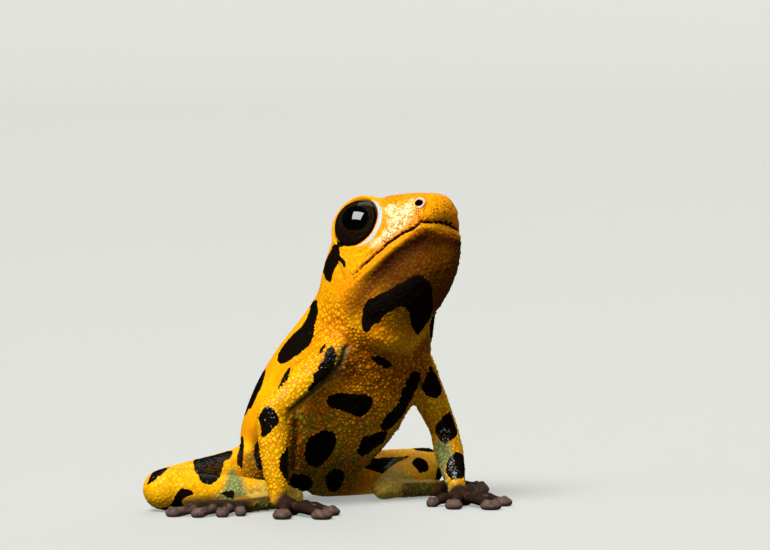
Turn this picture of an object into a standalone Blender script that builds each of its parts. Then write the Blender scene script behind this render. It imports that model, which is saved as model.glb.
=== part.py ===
"""A mimic poison frog at life size, sitting upright on its hands with its head raised.

The animal is modelled whole, in millimetres, and is then parted by thin cuts at its joints. It faces +X,
its left side is towards +Y, and it stands on the plane Z = 0.
"""

import math

import bmesh
import bpy
import numpy as np
from mathutils import Matrix, Vector

METRE = 0.001
GAP = 0.25
SIDES = {"right": -1, "left": 1}

# The body's own frame: X runs from the pelvis towards the neck, Y to the left and Z to the back.
PELVIS = Vector((-5.0, 0.0, 2.5))
BODY_PITCH = 56.0
BODY_LEAN = 10.0

# Distance along the body, rise of the middle line, half width, height above it and depth below it.
TORSO = (
    (-2.7, 1.3, 1.4, 1.25, 1.3),
    (-1.6, 0.85, 2.5, 1.95, 2.0),
    (0.0, 0.4, 3.5, 2.9, 2.75),
    (2.5, 0.15, 4.0, 3.5, 3.2),
    (5.0, 0.0, 4.0, 3.6, 3.2),
    (7.0, 0.1, 3.8, 3.2, 3.1),
    (8.7, 0.4, 3.45, 3.0, 2.9),
    (10.2, 0.8, 3.1, 2.7, 2.7),
    (11.5, 1.1, 2.7, 2.4, 2.4),
)
SHOULDER = {"right": (7.6, -3.0, -1.6), "left": (7.4, 2.5, -1.5)}
HIP = (-1.1, 2.0, 0.1)

# The head's own frame: X points out of the snout, and Z = 0 is the plane of the mouth.
MOUTH_TIP = Vector((4.8, 1.9, 15.0))
HEAD_TURN = 10.0
HEAD_PITCH = 37.0
HEAD_LEAN = 10.0

# Distance ahead of the mouth's tip, height of the widest place, half width, height above it and depth below it.
HEAD = (
    (-8.2, -0.6, 2.2, 1.7, 2.6),
    (-7.2, -0.2, 2.6, 2.4, 3.2),
    (-6.2, 0.1, 2.85, 2.9, 3.5),
    (-5.0, 0.2, 2.95, 3.25, 3.5),
    (-3.7, 0.2, 2.75, 3.4, 3.3),
    (-2.3, 0.3, 2.4, 3.1, 2.9),
    (-1.1, 0.5, 2.0, 2.25, 2.3),
    (-0.5, 0.8, 1.7, 1.55, 1.7),
    (-0.1, 1.1, 1.35, 0.95, 1.1),
    (0.2, 1.2, 1.0, 0.65, 0.75),
    (0.42, 1.25, 0.55, 0.35, 0.4),
)
HEAD_FULLNESS = 2.3
EYE = (-3.83, 1.62, 2.12)
EYE_RADIUS = 1.5
EYE_GAP = 0.08
EYE_FORWARD = 10.0
EYE_UP = 13.0
ORBIT_RADIUS = 1.8
LID_OFFSET = 0.7
LID_THICKNESS = 0.11
LID_SEAT = 0.8
NOSTRIL = (-0.27, 1.4, 1.28)
NOSTRIL_AIM = (0.55, 1.0, 0.25)
NOSTRIL_RADIUS = 0.17
NOSTRIL_RIM = 0.1
NOSTRIL_DEPTH = 0.35
MOUTH_CORNER = -4.9
MOUTH_GAP = 0.12
MOUTH_DEPTH = 0.3
LIP_RADIUS = 0.13
LIP_INSET = 0.12

# How high the line of the mouth runs at each distance ahead of its tip.
MOUTH_RISE = (
    (-4.9, -0.3),
    (-3.9, -0.22),
    (-3.1, -0.07),
    (-2.3, 0.07),
    (-0.9, 0.1),
    (0.0, 0.14),
    (0.5, 0.12),
)

# Where each limb goes, in the frog's frame.
ARMS = {
    "right": {"elbow": (-0.6, -5.65, 5.25), "wrist": (0.0, -5.65, 0.85), "heading": 10.0},
    "left": {"elbow": (-0.65, 6.2, 3.85), "wrist": (1.9, 4.95, 0.85), "heading": -20.0},
}
LEGS = {
    "right": {"knee": (-4.9, -9.4, 1.15), "heel": (-1.7, -3.3, 0.6), "heading": -88.0},
    "left": {"knee": (-5.8, 9.3, 1.15), "heel": (-2.2, 3.3, 0.6), "heading": 88.0},
}
UPPER_ARM_RADII = (1.05, 0.95, 0.85, 0.75)
FOREARM_RADII = (0.75, 0.8, 0.68, 0.48)
THIGH_RADII = (1.3, 1.4, 1.35, 1.1)
THIGH_BULGE = (-0.35, 0.0, -0.3)
SHANK_RADII = (1.05, 1.05, 0.9, 0.6)
TARSUS_RADII = (0.6, 0.58, 0.55)
TARSUS_LENGTH = 3.6
SOLE_HEIGHT = 0.42

# Each digit's angle from its hand or foot's heading towards the body's outer side, its length and its pad.
FINGERS = ((-80.0, 1.5, 0.34), (-32.0, 1.9, 0.48), (12.0, 2.5, 0.58), (58.0, 1.9, 0.52))
TOES = ((-50.0, 1.3, 0.3), (-25.0, 2.0, 0.36), (-4.0, 2.8, 0.4), (14.0, 3.6, 0.44), (36.0, 2.3, 0.4))
DIGIT_RADIUS = 0.28
DIGIT_HEIGHT = 0.2
DIGIT_ARCH = 0.12
PAD_THICKNESS = 0.28
PALM_LENGTH = 0.75
PALM_RADII = (0.5, 0.62)
PALM_FLATNESS = 0.75
TARSUS_FLATNESS = 0.85
DIGIT_START = {"finger": 0.3, "toe": 0.25}

BODY_VOXEL = 0.13
DETAIL_VOXEL = 0.1
BODY_SMOOTHING = 6
DETAIL_SMOOTHING = 2
TRIANGLES = 11200

# How far down each limb a joint is parted, and how wide the cut is.
NECK_PLACE = (-6.2, 0.0, -0.4)
NECK_WIDTH = 5.4
SHOULDER_CUT = (2.4, 1.35)
ELBOW_WIDTH = 1.5
WRIST_CUT = (-0.1, 0.95)
HIP_CUT = (2.2, 2.3)

# The cut in a leg's fold: its turn to the far length, its reach past and before the corner, and its height.
KNEE_FOLD = (0.55, 1.8, 5.6, 3.4)
HEEL_FOLD = (0.62, 1.2, 3.8, 2.2)
FLOOR_CUT = (60.0, 60.0, 10.0)

# Each kind of node's colour and roughness.
COLOURS = {
    "head": ((0.85, 0.3, 0.02), 0.45),
    "torso": ((0.8, 0.28, 0.02), 0.45),
    "eye": ((0.012, 0.009, 0.008), 0.08),
    "upper_arm": ((0.75, 0.4, 0.02), 0.45),
    "forearm": ((0.78, 0.45, 0.03), 0.45),
    "hand": ((0.2, 0.13, 0.12), 0.35),
    "thigh": ((0.7, 0.4, 0.03), 0.45),
    "shank": ((0.65, 0.45, 0.05), 0.45),
    "foot": ((0.16, 0.11, 0.1), 0.35),
}

# Places in the frog's frame where flesh flows together: radius of the zone and rounds of smoothing.
NECK_ZONE = (5.2, 160)
ARM_ZONE = (1.9, 30)
THIGH_ZONE = (2.6, 60)
ORBIT_ZONE = (2.2, 14)


def frame_of(origin, turn, pitch, lean):
    """A frame at origin, turned to the left, pitched up and leaning to the left, in degrees."""
    return (
        Matrix.Translation(origin)
        @ Matrix.Rotation(math.radians(turn), 4, "Z")
        @ Matrix.Rotation(math.radians(-lean), 4, "X")
        @ Matrix.Rotation(math.radians(-pitch), 4, "Y")
    )


BODY = frame_of(PELVIS, 0.0, BODY_PITCH, BODY_LEAN)
SKULL = frame_of(MOUTH_TIP, HEAD_TURN, HEAD_PITCH, HEAD_LEAN)


def spline(rows, steps=6):
    """Rows of numbers joined by a smooth curve, with steps rows for each stretch."""
    rows = np.array(rows, float)
    padded = np.vstack([2 * rows[0] - rows[1], rows, 2 * rows[-1] - rows[-2]])
    found = []
    for a, b, c, d in zip(padded, padded[1:], padded[2:], padded[3:]):
        for t in np.arange(steps) / steps:
            bend = (2 * a - 5 * b + 4 * c - d) * t**2 + (3 * b - a - 3 * c + d) * t**3
            found.append(0.5 * (2 * b + (c - a) * t + bend))
    found.append(rows[-1])
    return np.array(found)


def add_object(name, mesh):
    piece = bpy.data.objects.new(name, mesh)
    bpy.context.scene.collection.objects.link(piece)
    return piece


def mesh_from(name, build):
    """A mesh that build fills through bmesh."""
    made = bmesh.new()
    build(made)
    bmesh.ops.recalc_face_normals(made, faces=made.faces)
    mesh = bpy.data.meshes.new(name)
    made.to_mesh(mesh)
    made.free()
    return mesh


def skin(name, rings, matrix=None):
    """A closed form through rings of points, with a fan over each end."""

    def build(made):
        rows = [[made.verts.new(p) for p in ring] for ring in rings]
        for low, high in zip(rows, rows[1:]):
            for i in range(len(low)):
                j = (i + 1) % len(low)
                made.faces.new((low[i], low[j], high[j], high[i]))
        for ring in (rows[0], rows[-1]):
            middle = sum((v.co for v in ring), Vector()) / len(ring)
            hub = made.verts.new(middle)
            for i in range(len(ring)):
                made.faces.new((ring[i], ring[(i + 1) % len(ring)], hub))

    mesh = mesh_from(name, build)
    if matrix is not None:
        mesh.transform(matrix)
    return add_object(name, mesh)


def oval(centre, side, up, half_width, rise, drop, count=32, fullness=2.2):
    """One ring, rounder or squarer by its fullness."""
    points = []
    for k in range(count):
        angle = 2 * math.pi * k / count
        c, s = math.cos(angle), math.sin(angle)
        across = math.copysign(abs(c) ** (2 / fullness), c) * half_width
        along = math.copysign(abs(s) ** (2 / fullness), s) * (rise if s > 0 else drop)
        points.append(Vector(centre) + Vector(side) * across + Vector(up) * along)
    return points


def domed(rows, first_dome, last_dome, steps=4):
    """Rows of (distance, sizes...) with round ends added, each as deep as its dome."""
    rows = np.array(rows, float)
    start, end = [], []
    for k in range(1, steps + 1):
        angle = math.pi / 2 * k / (steps + 0.35)
        for row, dome, ring in ((rows[0], -first_dome, start), (rows[-1], last_dome, end)):
            more = row.copy()
            more[0] += dome * math.sin(angle)
            more[-3:] *= math.cos(angle)
            ring.append(more)
    return np.vstack([start[::-1], rows, end])


def torso():
    rows = domed(spline(TORSO), 0.5, 1.2)
    rings = [oval((s, 0, rise), (0, 1, 0), (0, 0, 1), w, up, down) for s, rise, w, up, down in rows]
    return skin("torso_form", rings, BODY)


def head_rows():
    return domed(spline(HEAD), 1.0, 0.1)


def head():
    rings = [
        oval((x, 0, z), (0, 1, 0), (0, 0, 1), w, up, down, fullness=HEAD_FULLNESS)
        for x, z, w, up, down in head_rows()
    ]
    return skin("head_form", rings, SKULL)


def mouth_line(inset, height):
    """Points along the right half of the mouth from its corner to the tip, then back along the left half."""
    rise = spline(MOUTH_RISE)
    half = []
    for x, z, w, _, down in spline(HEAD, 8):
        level = np.interp(x, rise[:, 0], rise[:, 1])
        drop = abs(z - level) / down
        if x > MOUTH_CORNER and drop < 1:
            half.append(Vector((x, w * (1 - drop**HEAD_FULLNESS) ** (1 / HEAD_FULLNESS), level)))
    points = [Vector((p.x, -p.y, p.z)) for p in half] + half[::-1]
    moved = []
    for before, point, after in zip([points[0], *points], points, [*points[1:], points[-1]]):
        along = (after - before).normalized()
        outward = Vector((along.y, -along.x, 0))
        moved.append(point - outward * inset + Vector((0, 0, height)))
    return moved


def limb(name, points, radii, flatness=1.0, up=(0, 0, 1)):
    """A round form along a smooth line with a radius at each of its points, and with round ends."""
    rows = spline([(*p, r) for p, r in zip(points, radii)])
    places = [Vector(row[:3]) for row in rows]
    sizes = [row[3] for row in rows]
    first = (places[0] - places[1]).normalized()
    last = (places[-1] - places[-2]).normalized()
    for k in range(1, 5):
        angle = math.pi / 2 * k / 4.3
        places.insert(0, places[k - 1] + first * radii[0] * (math.sin(angle) - math.sin(angle - math.pi / 8.6)))
        sizes.insert(0, radii[0] * math.cos(angle))
        places.append(places[-1] + last * radii[-1] * (math.sin(angle) - math.sin(angle - math.pi / 8.6)))
        sizes.append(radii[-1] * math.cos(angle))
    rings = []
    for k, (place, size) in enumerate(zip(places, sizes)):
        before, after = places[max(k - 1, 0)], places[min(k + 1, len(places) - 1)]
        along = (after - before).normalized()
        side = along.cross(Vector(up))
        side = side.normalized() if side.length > 0.05 else along.orthogonal().normalized()
        over = side.cross(along)
        rings.append(oval(place, side, over, size, size * flatness, size * flatness, 16, 2.0))
    return skin(name, rings)


def ball(name, centre, radii, matrix=None):
    """An ellipsoid."""

    def build(made):
        shape = Matrix.Translation(centre) @ Matrix.Diagonal((*radii, 1.0))
        bmesh.ops.create_uvsphere(made, u_segments=24, v_segments=16, radius=1.0, matrix=shape)

    mesh = mesh_from(name, build)
    if matrix is not None:
        mesh.transform(matrix)
    return add_object(name, mesh)


def torus(name, matrix, major, minor, count=36, sides=12):
    """A ring round the Z axis of matrix."""

    def build(made):
        rows = []
        for k in range(count):
            turn = 2 * math.pi * k / count
            out = Vector((math.cos(turn), math.sin(turn), 0))
            rows.append([
                made.verts.new(out * (major + minor * math.cos(a)) + Vector((0, 0, minor * math.sin(a))))
                for a in (2 * math.pi * i / sides for i in range(sides))
            ])
        for k, row in enumerate(rows):
            ahead = rows[(k + 1) % count]
            for i in range(sides):
                j = (i + 1) % sides
                made.faces.new((row[i], row[j], ahead[j], ahead[i]))

    mesh = mesh_from(name, build)
    mesh.transform(matrix)
    return add_object(name, mesh)


def facing(centre, direction):
    """A frame at centre whose Z axis is direction."""
    return Matrix.Translation(centre) @ Vector(direction).to_track_quat("Z", "Y").to_matrix().to_4x4()


def eye_direction(side):
    ahead, raised = math.radians(EYE_FORWARD), math.radians(EYE_UP)
    return Vector((
        math.sin(ahead) * math.cos(raised),
        side * math.cos(ahead) * math.cos(raised),
        math.sin(raised),
    ))


def mirrored(place, side):
    return Vector((place[0], place[1] * side, place[2]))


def shoulder(name):
    return BODY @ Vector(SHOULDER[name])


def hip(side):
    return BODY @ mirrored(HIP, side)


def heading_of(degrees):
    return Vector((math.cos(math.radians(degrees)), math.sin(math.radians(degrees)), 0))


def digit(name, root, direction, length, pad_radius):
    """A finger or toe with its round pad, lying on the floor."""
    tip = Vector((root.x, root.y, 0)) + direction * length + Vector((0, 0, DIGIT_HEIGHT))
    middle = root.lerp(tip, 0.55) + Vector((0, 0, DIGIT_ARCH))
    bone = limb(name, [root, middle, tip], [DIGIT_RADIUS * 1.15, DIGIT_RADIUS, DIGIT_RADIUS * 0.95])
    pad = ball(name + "_pad", tip, (pad_radius, pad_radius, PAD_THICKNESS))
    return [bone, pad]


def arm_line(name):
    """The points from shoulder to elbow and from elbow to wrist."""
    pose = ARMS[name]
    root, elbow, wrist = shoulder(name), Vector(pose["elbow"]), Vector(pose["wrist"])
    upper = [root, root.lerp(elbow, 0.35), root.lerp(elbow, 0.7), elbow]
    fore = [elbow, elbow.lerp(wrist, 0.35), elbow.lerp(wrist, 0.7), wrist]
    return upper, fore


def arm_forms(name):
    upper, fore = arm_line(name)
    return [limb("upper", upper, UPPER_ARM_RADII), limb("fore", fore, FOREARM_RADII)]


def palm_of(name):
    wrist = Vector(ARMS[name]["wrist"])
    return Vector((wrist.x, wrist.y, SOLE_HEIGHT)) + heading_of(ARMS[name]["heading"]) * PALM_LENGTH


def hand_forms(name):
    side, pose = SIDES[name], ARMS[name]
    wrist, palm = Vector(pose["wrist"]), palm_of(name)
    forms = [limb("palm", [wrist - Vector((0, 0, 0.1)), palm], PALM_RADII, PALM_FLATNESS)]
    for k, (angle, length, pad_radius) in enumerate(FINGERS):
        direction = heading_of(pose["heading"] + angle * side)
        root = palm + direction * DIGIT_START["finger"]
        forms += digit(f"finger_{k}", root, direction, length, pad_radius)
    return forms


def leg_line(name):
    """The points from hip to knee and from knee to heel."""
    root, knee, heel = hip(SIDES[name]), Vector(LEGS[name]["knee"]), Vector(LEGS[name]["heel"])
    bulge = Vector(THIGH_BULGE)
    thigh = [root, root.lerp(knee, 0.35) + bulge, root.lerp(knee, 0.7) + bulge, knee]
    shank = [knee, knee.lerp(heel, 0.3), knee.lerp(heel, 0.65), heel]
    return thigh, shank


def leg_forms(name):
    thigh, shank = leg_line(name)
    return [limb("thigh", thigh, THIGH_RADII), limb("shank", shank, SHANK_RADII)]


def sole_of(name):
    heel = Vector(LEGS[name]["heel"])
    return Vector((heel.x, heel.y, SOLE_HEIGHT)) + heading_of(LEGS[name]["heading"]) * TARSUS_LENGTH


def foot_forms(name):
    side, pose = SIDES[name], LEGS[name]
    heel, sole = Vector(pose["heel"]), sole_of(name)
    forms = [limb("tarsus", [heel, heel.lerp(sole, 0.5), sole], TARSUS_RADII, TARSUS_FLATNESS)]
    for k, (angle, length, pad_radius) in enumerate(TOES):
        direction = heading_of(pose["heading"] + angle * side)
        root = sole + direction * DIGIT_START["toe"]
        forms += digit(f"toe_{k}", root, direction, length, pad_radius)
    return forms


def orbit(side):
    """The ball of flesh that holds an eye, cut flat where the lids open."""
    start = math.asin(LID_OFFSET / ORBIT_RADIUS)
    rings = []
    for k in range(12):
        angle = start - (start + math.pi / 2) * k / 12
        radius, height = ORBIT_RADIUS * math.cos(angle), ORBIT_RADIUS * math.sin(angle)
        rings.append(oval((0, 0, height), (1, 0, 0), (0, 1, 0), radius, radius, radius, 28, 2.0))
    return skin("orbit", rings, SKULL @ facing(mirrored(EYE, side), eye_direction(side)))


def lid(side):
    """The raised edge of the lids round an eye."""
    direction = eye_direction(side)
    radius = math.sqrt((EYE_RADIUS + EYE_GAP) ** 2 - LID_OFFSET**2) + LID_THICKNESS * LID_SEAT
    place = facing(mirrored(EYE, side) + direction * LID_OFFSET, direction)
    return torus("lid", SKULL @ place, radius, LID_THICKNESS)


def nostril_frame(side):
    return SKULL @ facing(mirrored(NOSTRIL, side), mirrored(NOSTRIL_AIM, side))


def face_forms():
    """The lids' edges, the nostrils' rims and the two lips."""
    forms = []
    for side in SIDES.values():
        forms.append(lid(side))
        forms.append(torus("nostril", nostril_frame(side), NOSTRIL_RADIUS + NOSTRIL_RIM, NOSTRIL_RIM))
    for height in (LIP_RADIUS, -LIP_RADIUS):
        points = mouth_line(LIP_INSET, height)[::2]
        lip = limb("lip", points, [LIP_RADIUS] * len(points))
        lip.data.transform(SKULL)
        forms.append(lip)
    return forms


def baked(piece):
    """The piece's mesh as its modifiers leave it, with the modifiers gone."""
    view = bpy.context.evaluated_depsgraph_get()
    mesh = bpy.data.meshes.new_from_object(piece.evaluated_get(view))
    piece.modifiers.clear()
    piece.data = mesh
    return piece


def joined(name, pieces):
    """One object that holds the pieces' closed meshes side by side."""
    made = bmesh.new()
    for piece in pieces:
        made.from_mesh(piece.data)
        bpy.data.objects.remove(piece)
    mesh = bpy.data.meshes.new(name)
    made.to_mesh(mesh)
    made.free()
    return add_object(name, mesh)


def fused(name, pieces, voxel, smoothing):
    """The pieces grown together into one smooth closed skin."""
    whole = joined(name, pieces)
    remesh = whole.modifiers.new("Remesh", "REMESH")
    remesh.mode = "VOXEL"
    remesh.voxel_size = voxel
    remesh.adaptivity = 0.0
    smooth = whole.modifiers.new("Smooth", "SMOOTH")
    smooth.factor = 0.5
    smooth.iterations = smoothing
    return baked(whole)


def relaxed(piece, zones):
    """The skin with its creases eased inside each zone of centre, radius and rounds."""
    mesh = piece.data
    points = np.empty(len(mesh.vertices) * 3)
    mesh.vertices.foreach_get("co", points)
    points = points.reshape(-1, 3)
    edges = np.empty(len(mesh.edges) * 2, int)
    mesh.edges.foreach_get("vertices", edges)
    first, second = edges.reshape(-1, 2).T
    count = np.bincount(edges, minlength=len(points))[:, None]
    for centre, radius, rounds in zones:
        reach = np.linalg.norm(points - np.array(centre), axis=1) / radius
        weight = 0.5 * np.clip(1.5 - 1.5 * reach, 0, 1)[:, None]
        for _ in range(rounds):
            total = np.zeros_like(points)
            for axis in range(3):
                total[:, axis] += np.bincount(first, points[second, axis], len(points))
                total[:, axis] += np.bincount(second, points[first, axis], len(points))
            points += weight * (total / count - points)
    mesh.vertices.foreach_set("co", points.ravel())
    mesh.update()
    return piece


def body_zones():
    zones = [(SKULL @ Vector((-7.0, 0, -0.5)), *NECK_ZONE)]
    for name, side in SIDES.items():
        root, elbow = shoulder(name), Vector(ARMS[name]["elbow"])
        thigh_root, knee = hip(side), Vector(LEGS[name]["knee"])
        zones.append((root.lerp(elbow, 0.1), *ARM_ZONE))
        zones.append((thigh_root.lerp(knee, 0.3), *THIGH_ZONE))
        zones.append((SKULL @ mirrored(EYE, side), *ORBIT_ZONE))
    return zones


def thinned(whole, triangles):
    """The skin with about that many triangles, spent where it bends."""
    triangulate = whole.modifiers.new("Triangulate", "TRIANGULATE")
    triangulate.quad_method = "BEAUTY"
    baked(whole)
    decimate = whole.modifiers.new("Decimate", "DECIMATE")
    decimate.ratio = triangles / len(whole.data.polygons)
    return baked(whole)


def disc(name, centre, normal, radius, thickness=GAP):
    """A thin cutter across a joint."""

    def build(made):
        bmesh.ops.create_cone(
            made, cap_ends=True, segments=24, radius1=radius, radius2=radius, depth=thickness,
            matrix=facing(centre, normal),
        )

    return add_object(name, mesh_from(name, build))


def slab(name, matrix, size):
    """A box-shaped cutter, centred on matrix."""

    def build(made):
        bmesh.ops.create_cube(made, size=1.0, matrix=matrix @ Matrix.Diagonal((*size, 1.0)))

    return add_object(name, mesh_from(name, build))


def fold_cutter(near, far, corner, share, radius, reach, height):
    """The slab that parts two folded lengths of a leg, from past their corner back to where they are apart.

    Share is how far it turns from the near length towards the far one.
    """
    first, second = (near - corner).normalized(), (far - corner).normalized()
    out = -first.lerp(second, share).normalized()
    across = second - first
    across = (across - out * across.dot(out)).normalized()
    middle = corner + out * (radius - reach) / 2
    matrix = Matrix.Translation(middle) @ Matrix((out, across, out.cross(across))).transposed().to_4x4()
    return slab("fold", matrix, (radius + reach, GAP, height))


def joint_cutters():
    """Thin slabs across every joint."""
    neck = SKULL.to_3x3() @ Vector((1, 0, 0)) + BODY.to_3x3() @ Vector((1, 0, 0))
    cutters = [disc("neck", SKULL @ Vector(NECK_PLACE), neck, NECK_WIDTH)]
    for name, side in SIDES.items():
        root, elbow, wrist = shoulder(name), Vector(ARMS[name]["elbow"]), Vector(ARMS[name]["wrist"])
        upper, fore = (elbow - root).normalized(), (wrist - elbow).normalized()
        cutters.append(disc("shoulder", root + upper * SHOULDER_CUT[0], upper, SHOULDER_CUT[1]))
        cutters.append(disc("elbow", elbow, upper + fore, ELBOW_WIDTH))
        cutters.append(disc("wrist", wrist + fore * WRIST_CUT[0], fore, WRIST_CUT[1]))
        thigh_root, knee, heel = hip(side), Vector(LEGS[name]["knee"]), Vector(LEGS[name]["heel"])
        thigh = (knee - thigh_root).normalized()
        cutters.append(disc("hip", thigh_root + thigh * HIP_CUT[0], thigh, HIP_CUT[1]))
        cutters.append(fold_cutter(thigh_root, heel, knee, *KNEE_FOLD))
        cutters.append(fold_cutter(knee, sole_of(name), heel, *HEEL_FOLD))
    return cutters


def mouth_cutter():
    """The blade that leaves the line of the mouth, following the lips round the snout."""
    inner, outer = mouth_line(MOUTH_DEPTH, 0), mouth_line(-MOUTH_DEPTH, 0)

    def build(made):
        rings = []
        for a, b in zip(inner, outer):
            rise = Vector((0, 0, MOUTH_GAP / 2))
            rings.append([made.verts.new(p) for p in (a - rise, b - rise, b + rise, a + rise)])
        for ring, ahead in zip(rings, rings[1:]):
            for i in range(4):
                j = (i + 1) % 4
                made.faces.new((ring[i], ring[j], ahead[j], ahead[i]))
        made.faces.new(rings[0])
        made.faces.new(rings[-1])

    mesh = mesh_from("mouth", build)
    mesh.transform(SKULL)
    return add_object("mouth", mesh)


def face_cutters():
    """The sockets of the eyes, the nostrils and the line of the mouth."""
    cutters = [mouth_cutter()]
    for side in SIDES.values():
        cutters.append(ball("socket", mirrored(EYE, side), [EYE_RADIUS + EYE_GAP] * 3, SKULL))
        frame = nostril_frame(side)
        centre, out = frame.translation, frame.to_3x3() @ Vector((0, 0, 1))
        cutters.append(disc("nostril_hole", centre, out, NOSTRIL_RADIUS, 2 * NOSTRIL_DEPTH))
    return cutters


def cut(whole, cutters):
    """The skin less every cutter, which are then removed."""
    for cutter in cutters:
        boolean = whole.modifiers.new("Cut", "BOOLEAN")
        boolean.operation = "DIFFERENCE"
        boolean.object = cutter
        baked(whole)
        bpy.data.objects.remove(cutter)
    return whole


def loose_parts(whole):
    """One mesh object for each separate body of the skin, with its volume."""
    made = bmesh.new()
    made.from_mesh(whole.data)
    made.verts.ensure_lookup_table()
    unseen = set(range(len(made.verts)))
    groups = []
    while unseen:
        stack, group = [unseen.pop()], []
        while stack:
            vert = made.verts[stack.pop()]
            group.append(vert.index)
            for edge in vert.link_edges:
                other = edge.other_vert(vert).index
                if other in unseen:
                    unseen.remove(other)
                    stack.append(other)
        groups.append(set(group))
    pieces = []
    for group in groups:
        piece = made.copy()
        piece.verts.ensure_lookup_table()
        others = [v for v in piece.verts if v.index not in group]
        bmesh.ops.delete(piece, geom=others, context="VERTS")
        bmesh.ops.triangulate(piece, faces=piece.faces)
        mesh = bpy.data.meshes.new("piece")
        piece.to_mesh(mesh)
        middle = sum((v.co for v in piece.verts), Vector()) / len(piece.verts)
        pieces.append((piece.calc_volume(), middle, mesh))
        piece.free()
    made.free()
    bpy.data.objects.remove(whole)
    return pieces


def node_places():
    """The middle of each node, by its name."""
    places = {"torso": BODY @ Vector((4.0, 0, 0)), "head": SKULL @ Vector((-3.0, 0, 0))}
    for name, side in SIDES.items():
        arm, leg = ARMS[name], LEGS[name]
        root, elbow, wrist = shoulder(name), Vector(arm["elbow"]), Vector(arm["wrist"])
        thigh_root, knee, heel = hip(side), Vector(leg["knee"]), Vector(leg["heel"])
        places[f"upper_arm_{name}"] = root.lerp(elbow, 0.65)
        places[f"forearm_{name}"] = elbow.lerp(wrist, 0.5)
        places[f"hand_{name}"] = wrist + heading_of(arm["heading"]) * 1.5
        places[f"thigh_{name}"] = thigh_root.lerp(knee, 0.65)
        places[f"shank_{name}"] = knee.lerp(heel, 0.5)
        places[f"foot_{name}"] = heel + heading_of(leg["heading"]) * 4.6
    return places


def material(name):
    colour, roughness = COLOURS[name.rsplit("_", 1)[0] if name.endswith(("_right", "_left")) else name]
    made = bpy.data.materials.new(name)
    made.use_nodes = True
    shader = made.node_tree.nodes["Principled BSDF"]
    shader.inputs["Base Color"].default_value = (*colour, 1.0)
    shader.inputs["Roughness"].default_value = roughness
    shader.inputs["Metallic"].default_value = 0.0
    return made


def nodes_from(pieces):
    """Each piece named by the node whose middle is nearest, the largest only where there are several."""
    places = node_places()
    found = {}
    for volume, middle, mesh in pieces:
        name = min(places, key=lambda key: (places[key] - middle).length)
        if name not in found or volume > found[name][0]:
            found[name] = (volume, mesh)
    return [add_object(name, mesh) for name, (_, mesh) in sorted(found.items())]


def finished(nodes):
    """The nodes in metres about the middle of the whole, with their materials."""
    corners = np.array([node.matrix_world @ v.co for node in nodes for v in node.data.vertices])
    low, high = corners.min(axis=0), corners.max(axis=0)
    shift = Matrix.Translation((-(low[0] + high[0]) / 2, -(low[1] + high[1]) / 2, -low[2]))
    for node in nodes:
        node.data.transform(Matrix.Diagonal((METRE, METRE, METRE, 1.0)) @ shift)
        node.data.materials.append(material(node.name))


def main():
    for old in list(bpy.data.objects):
        bpy.data.objects.remove(old)
    forms = [torso(), head()]
    for name, side in SIDES.items():
        forms.append(orbit(side))
        forms += arm_forms(name) + leg_forms(name)
    body = relaxed(fused("frog", forms, BODY_VOXEL, BODY_SMOOTHING), body_zones())
    details = face_forms()
    for name in SIDES:
        details += hand_forms(name) + foot_forms(name)
    whole = fused("frog", [body, *details], DETAIL_VOXEL, DETAIL_SMOOTHING)
    whole = thinned(whole, TRIANGLES)
    floor = slab("floor", Matrix.Translation((0, 0, -FLOOR_CUT[2] / 2)), FLOOR_CUT)
    whole = cut(whole, [floor, *joint_cutters(), *face_cutters()])
    nodes = nodes_from(loose_parts(whole))
    for name, side in SIDES.items():
        nodes.append(ball(f"eye_{name}", mirrored(EYE, side), [EYE_RADIUS] * 3, SKULL))
    finished(nodes)


main()
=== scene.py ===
"""The looks of a mimic poison frog: one granular, spotted skin over all its flesh, and two wet eyes.

The skin is modelled in millimetres in the frog's own frame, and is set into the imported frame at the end.
"""

import itertools
from math import asin, copysign, cos, pi, radians, sin

import bmesh
import bpy
import numpy as np
from mathutils import Matrix, Vector
from mathutils.bvhtree import BVHTree


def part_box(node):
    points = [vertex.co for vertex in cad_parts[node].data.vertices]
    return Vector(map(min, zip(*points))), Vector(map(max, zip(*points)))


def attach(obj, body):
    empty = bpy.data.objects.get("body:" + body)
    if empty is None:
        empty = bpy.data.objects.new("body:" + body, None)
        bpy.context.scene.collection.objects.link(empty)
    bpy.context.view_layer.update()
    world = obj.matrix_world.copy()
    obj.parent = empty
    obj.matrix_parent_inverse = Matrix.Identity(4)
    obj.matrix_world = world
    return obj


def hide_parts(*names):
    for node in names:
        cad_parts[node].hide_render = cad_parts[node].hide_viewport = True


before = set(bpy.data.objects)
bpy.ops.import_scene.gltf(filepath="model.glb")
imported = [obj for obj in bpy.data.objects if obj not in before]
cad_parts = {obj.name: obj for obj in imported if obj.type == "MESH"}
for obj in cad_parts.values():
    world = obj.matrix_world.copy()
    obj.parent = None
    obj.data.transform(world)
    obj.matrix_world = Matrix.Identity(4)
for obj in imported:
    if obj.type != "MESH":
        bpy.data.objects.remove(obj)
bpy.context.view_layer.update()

METRE = 0.001
SIDES = {"right": -1, "left": 1}

# The body's own frame: X runs from the pelvis towards the neck, Y to the left and Z to the back.
PELVIS = Vector((-5.0, 0.0, 2.5))
BODY_PITCH = 56.0
BODY_LEAN = 10.0

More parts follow.
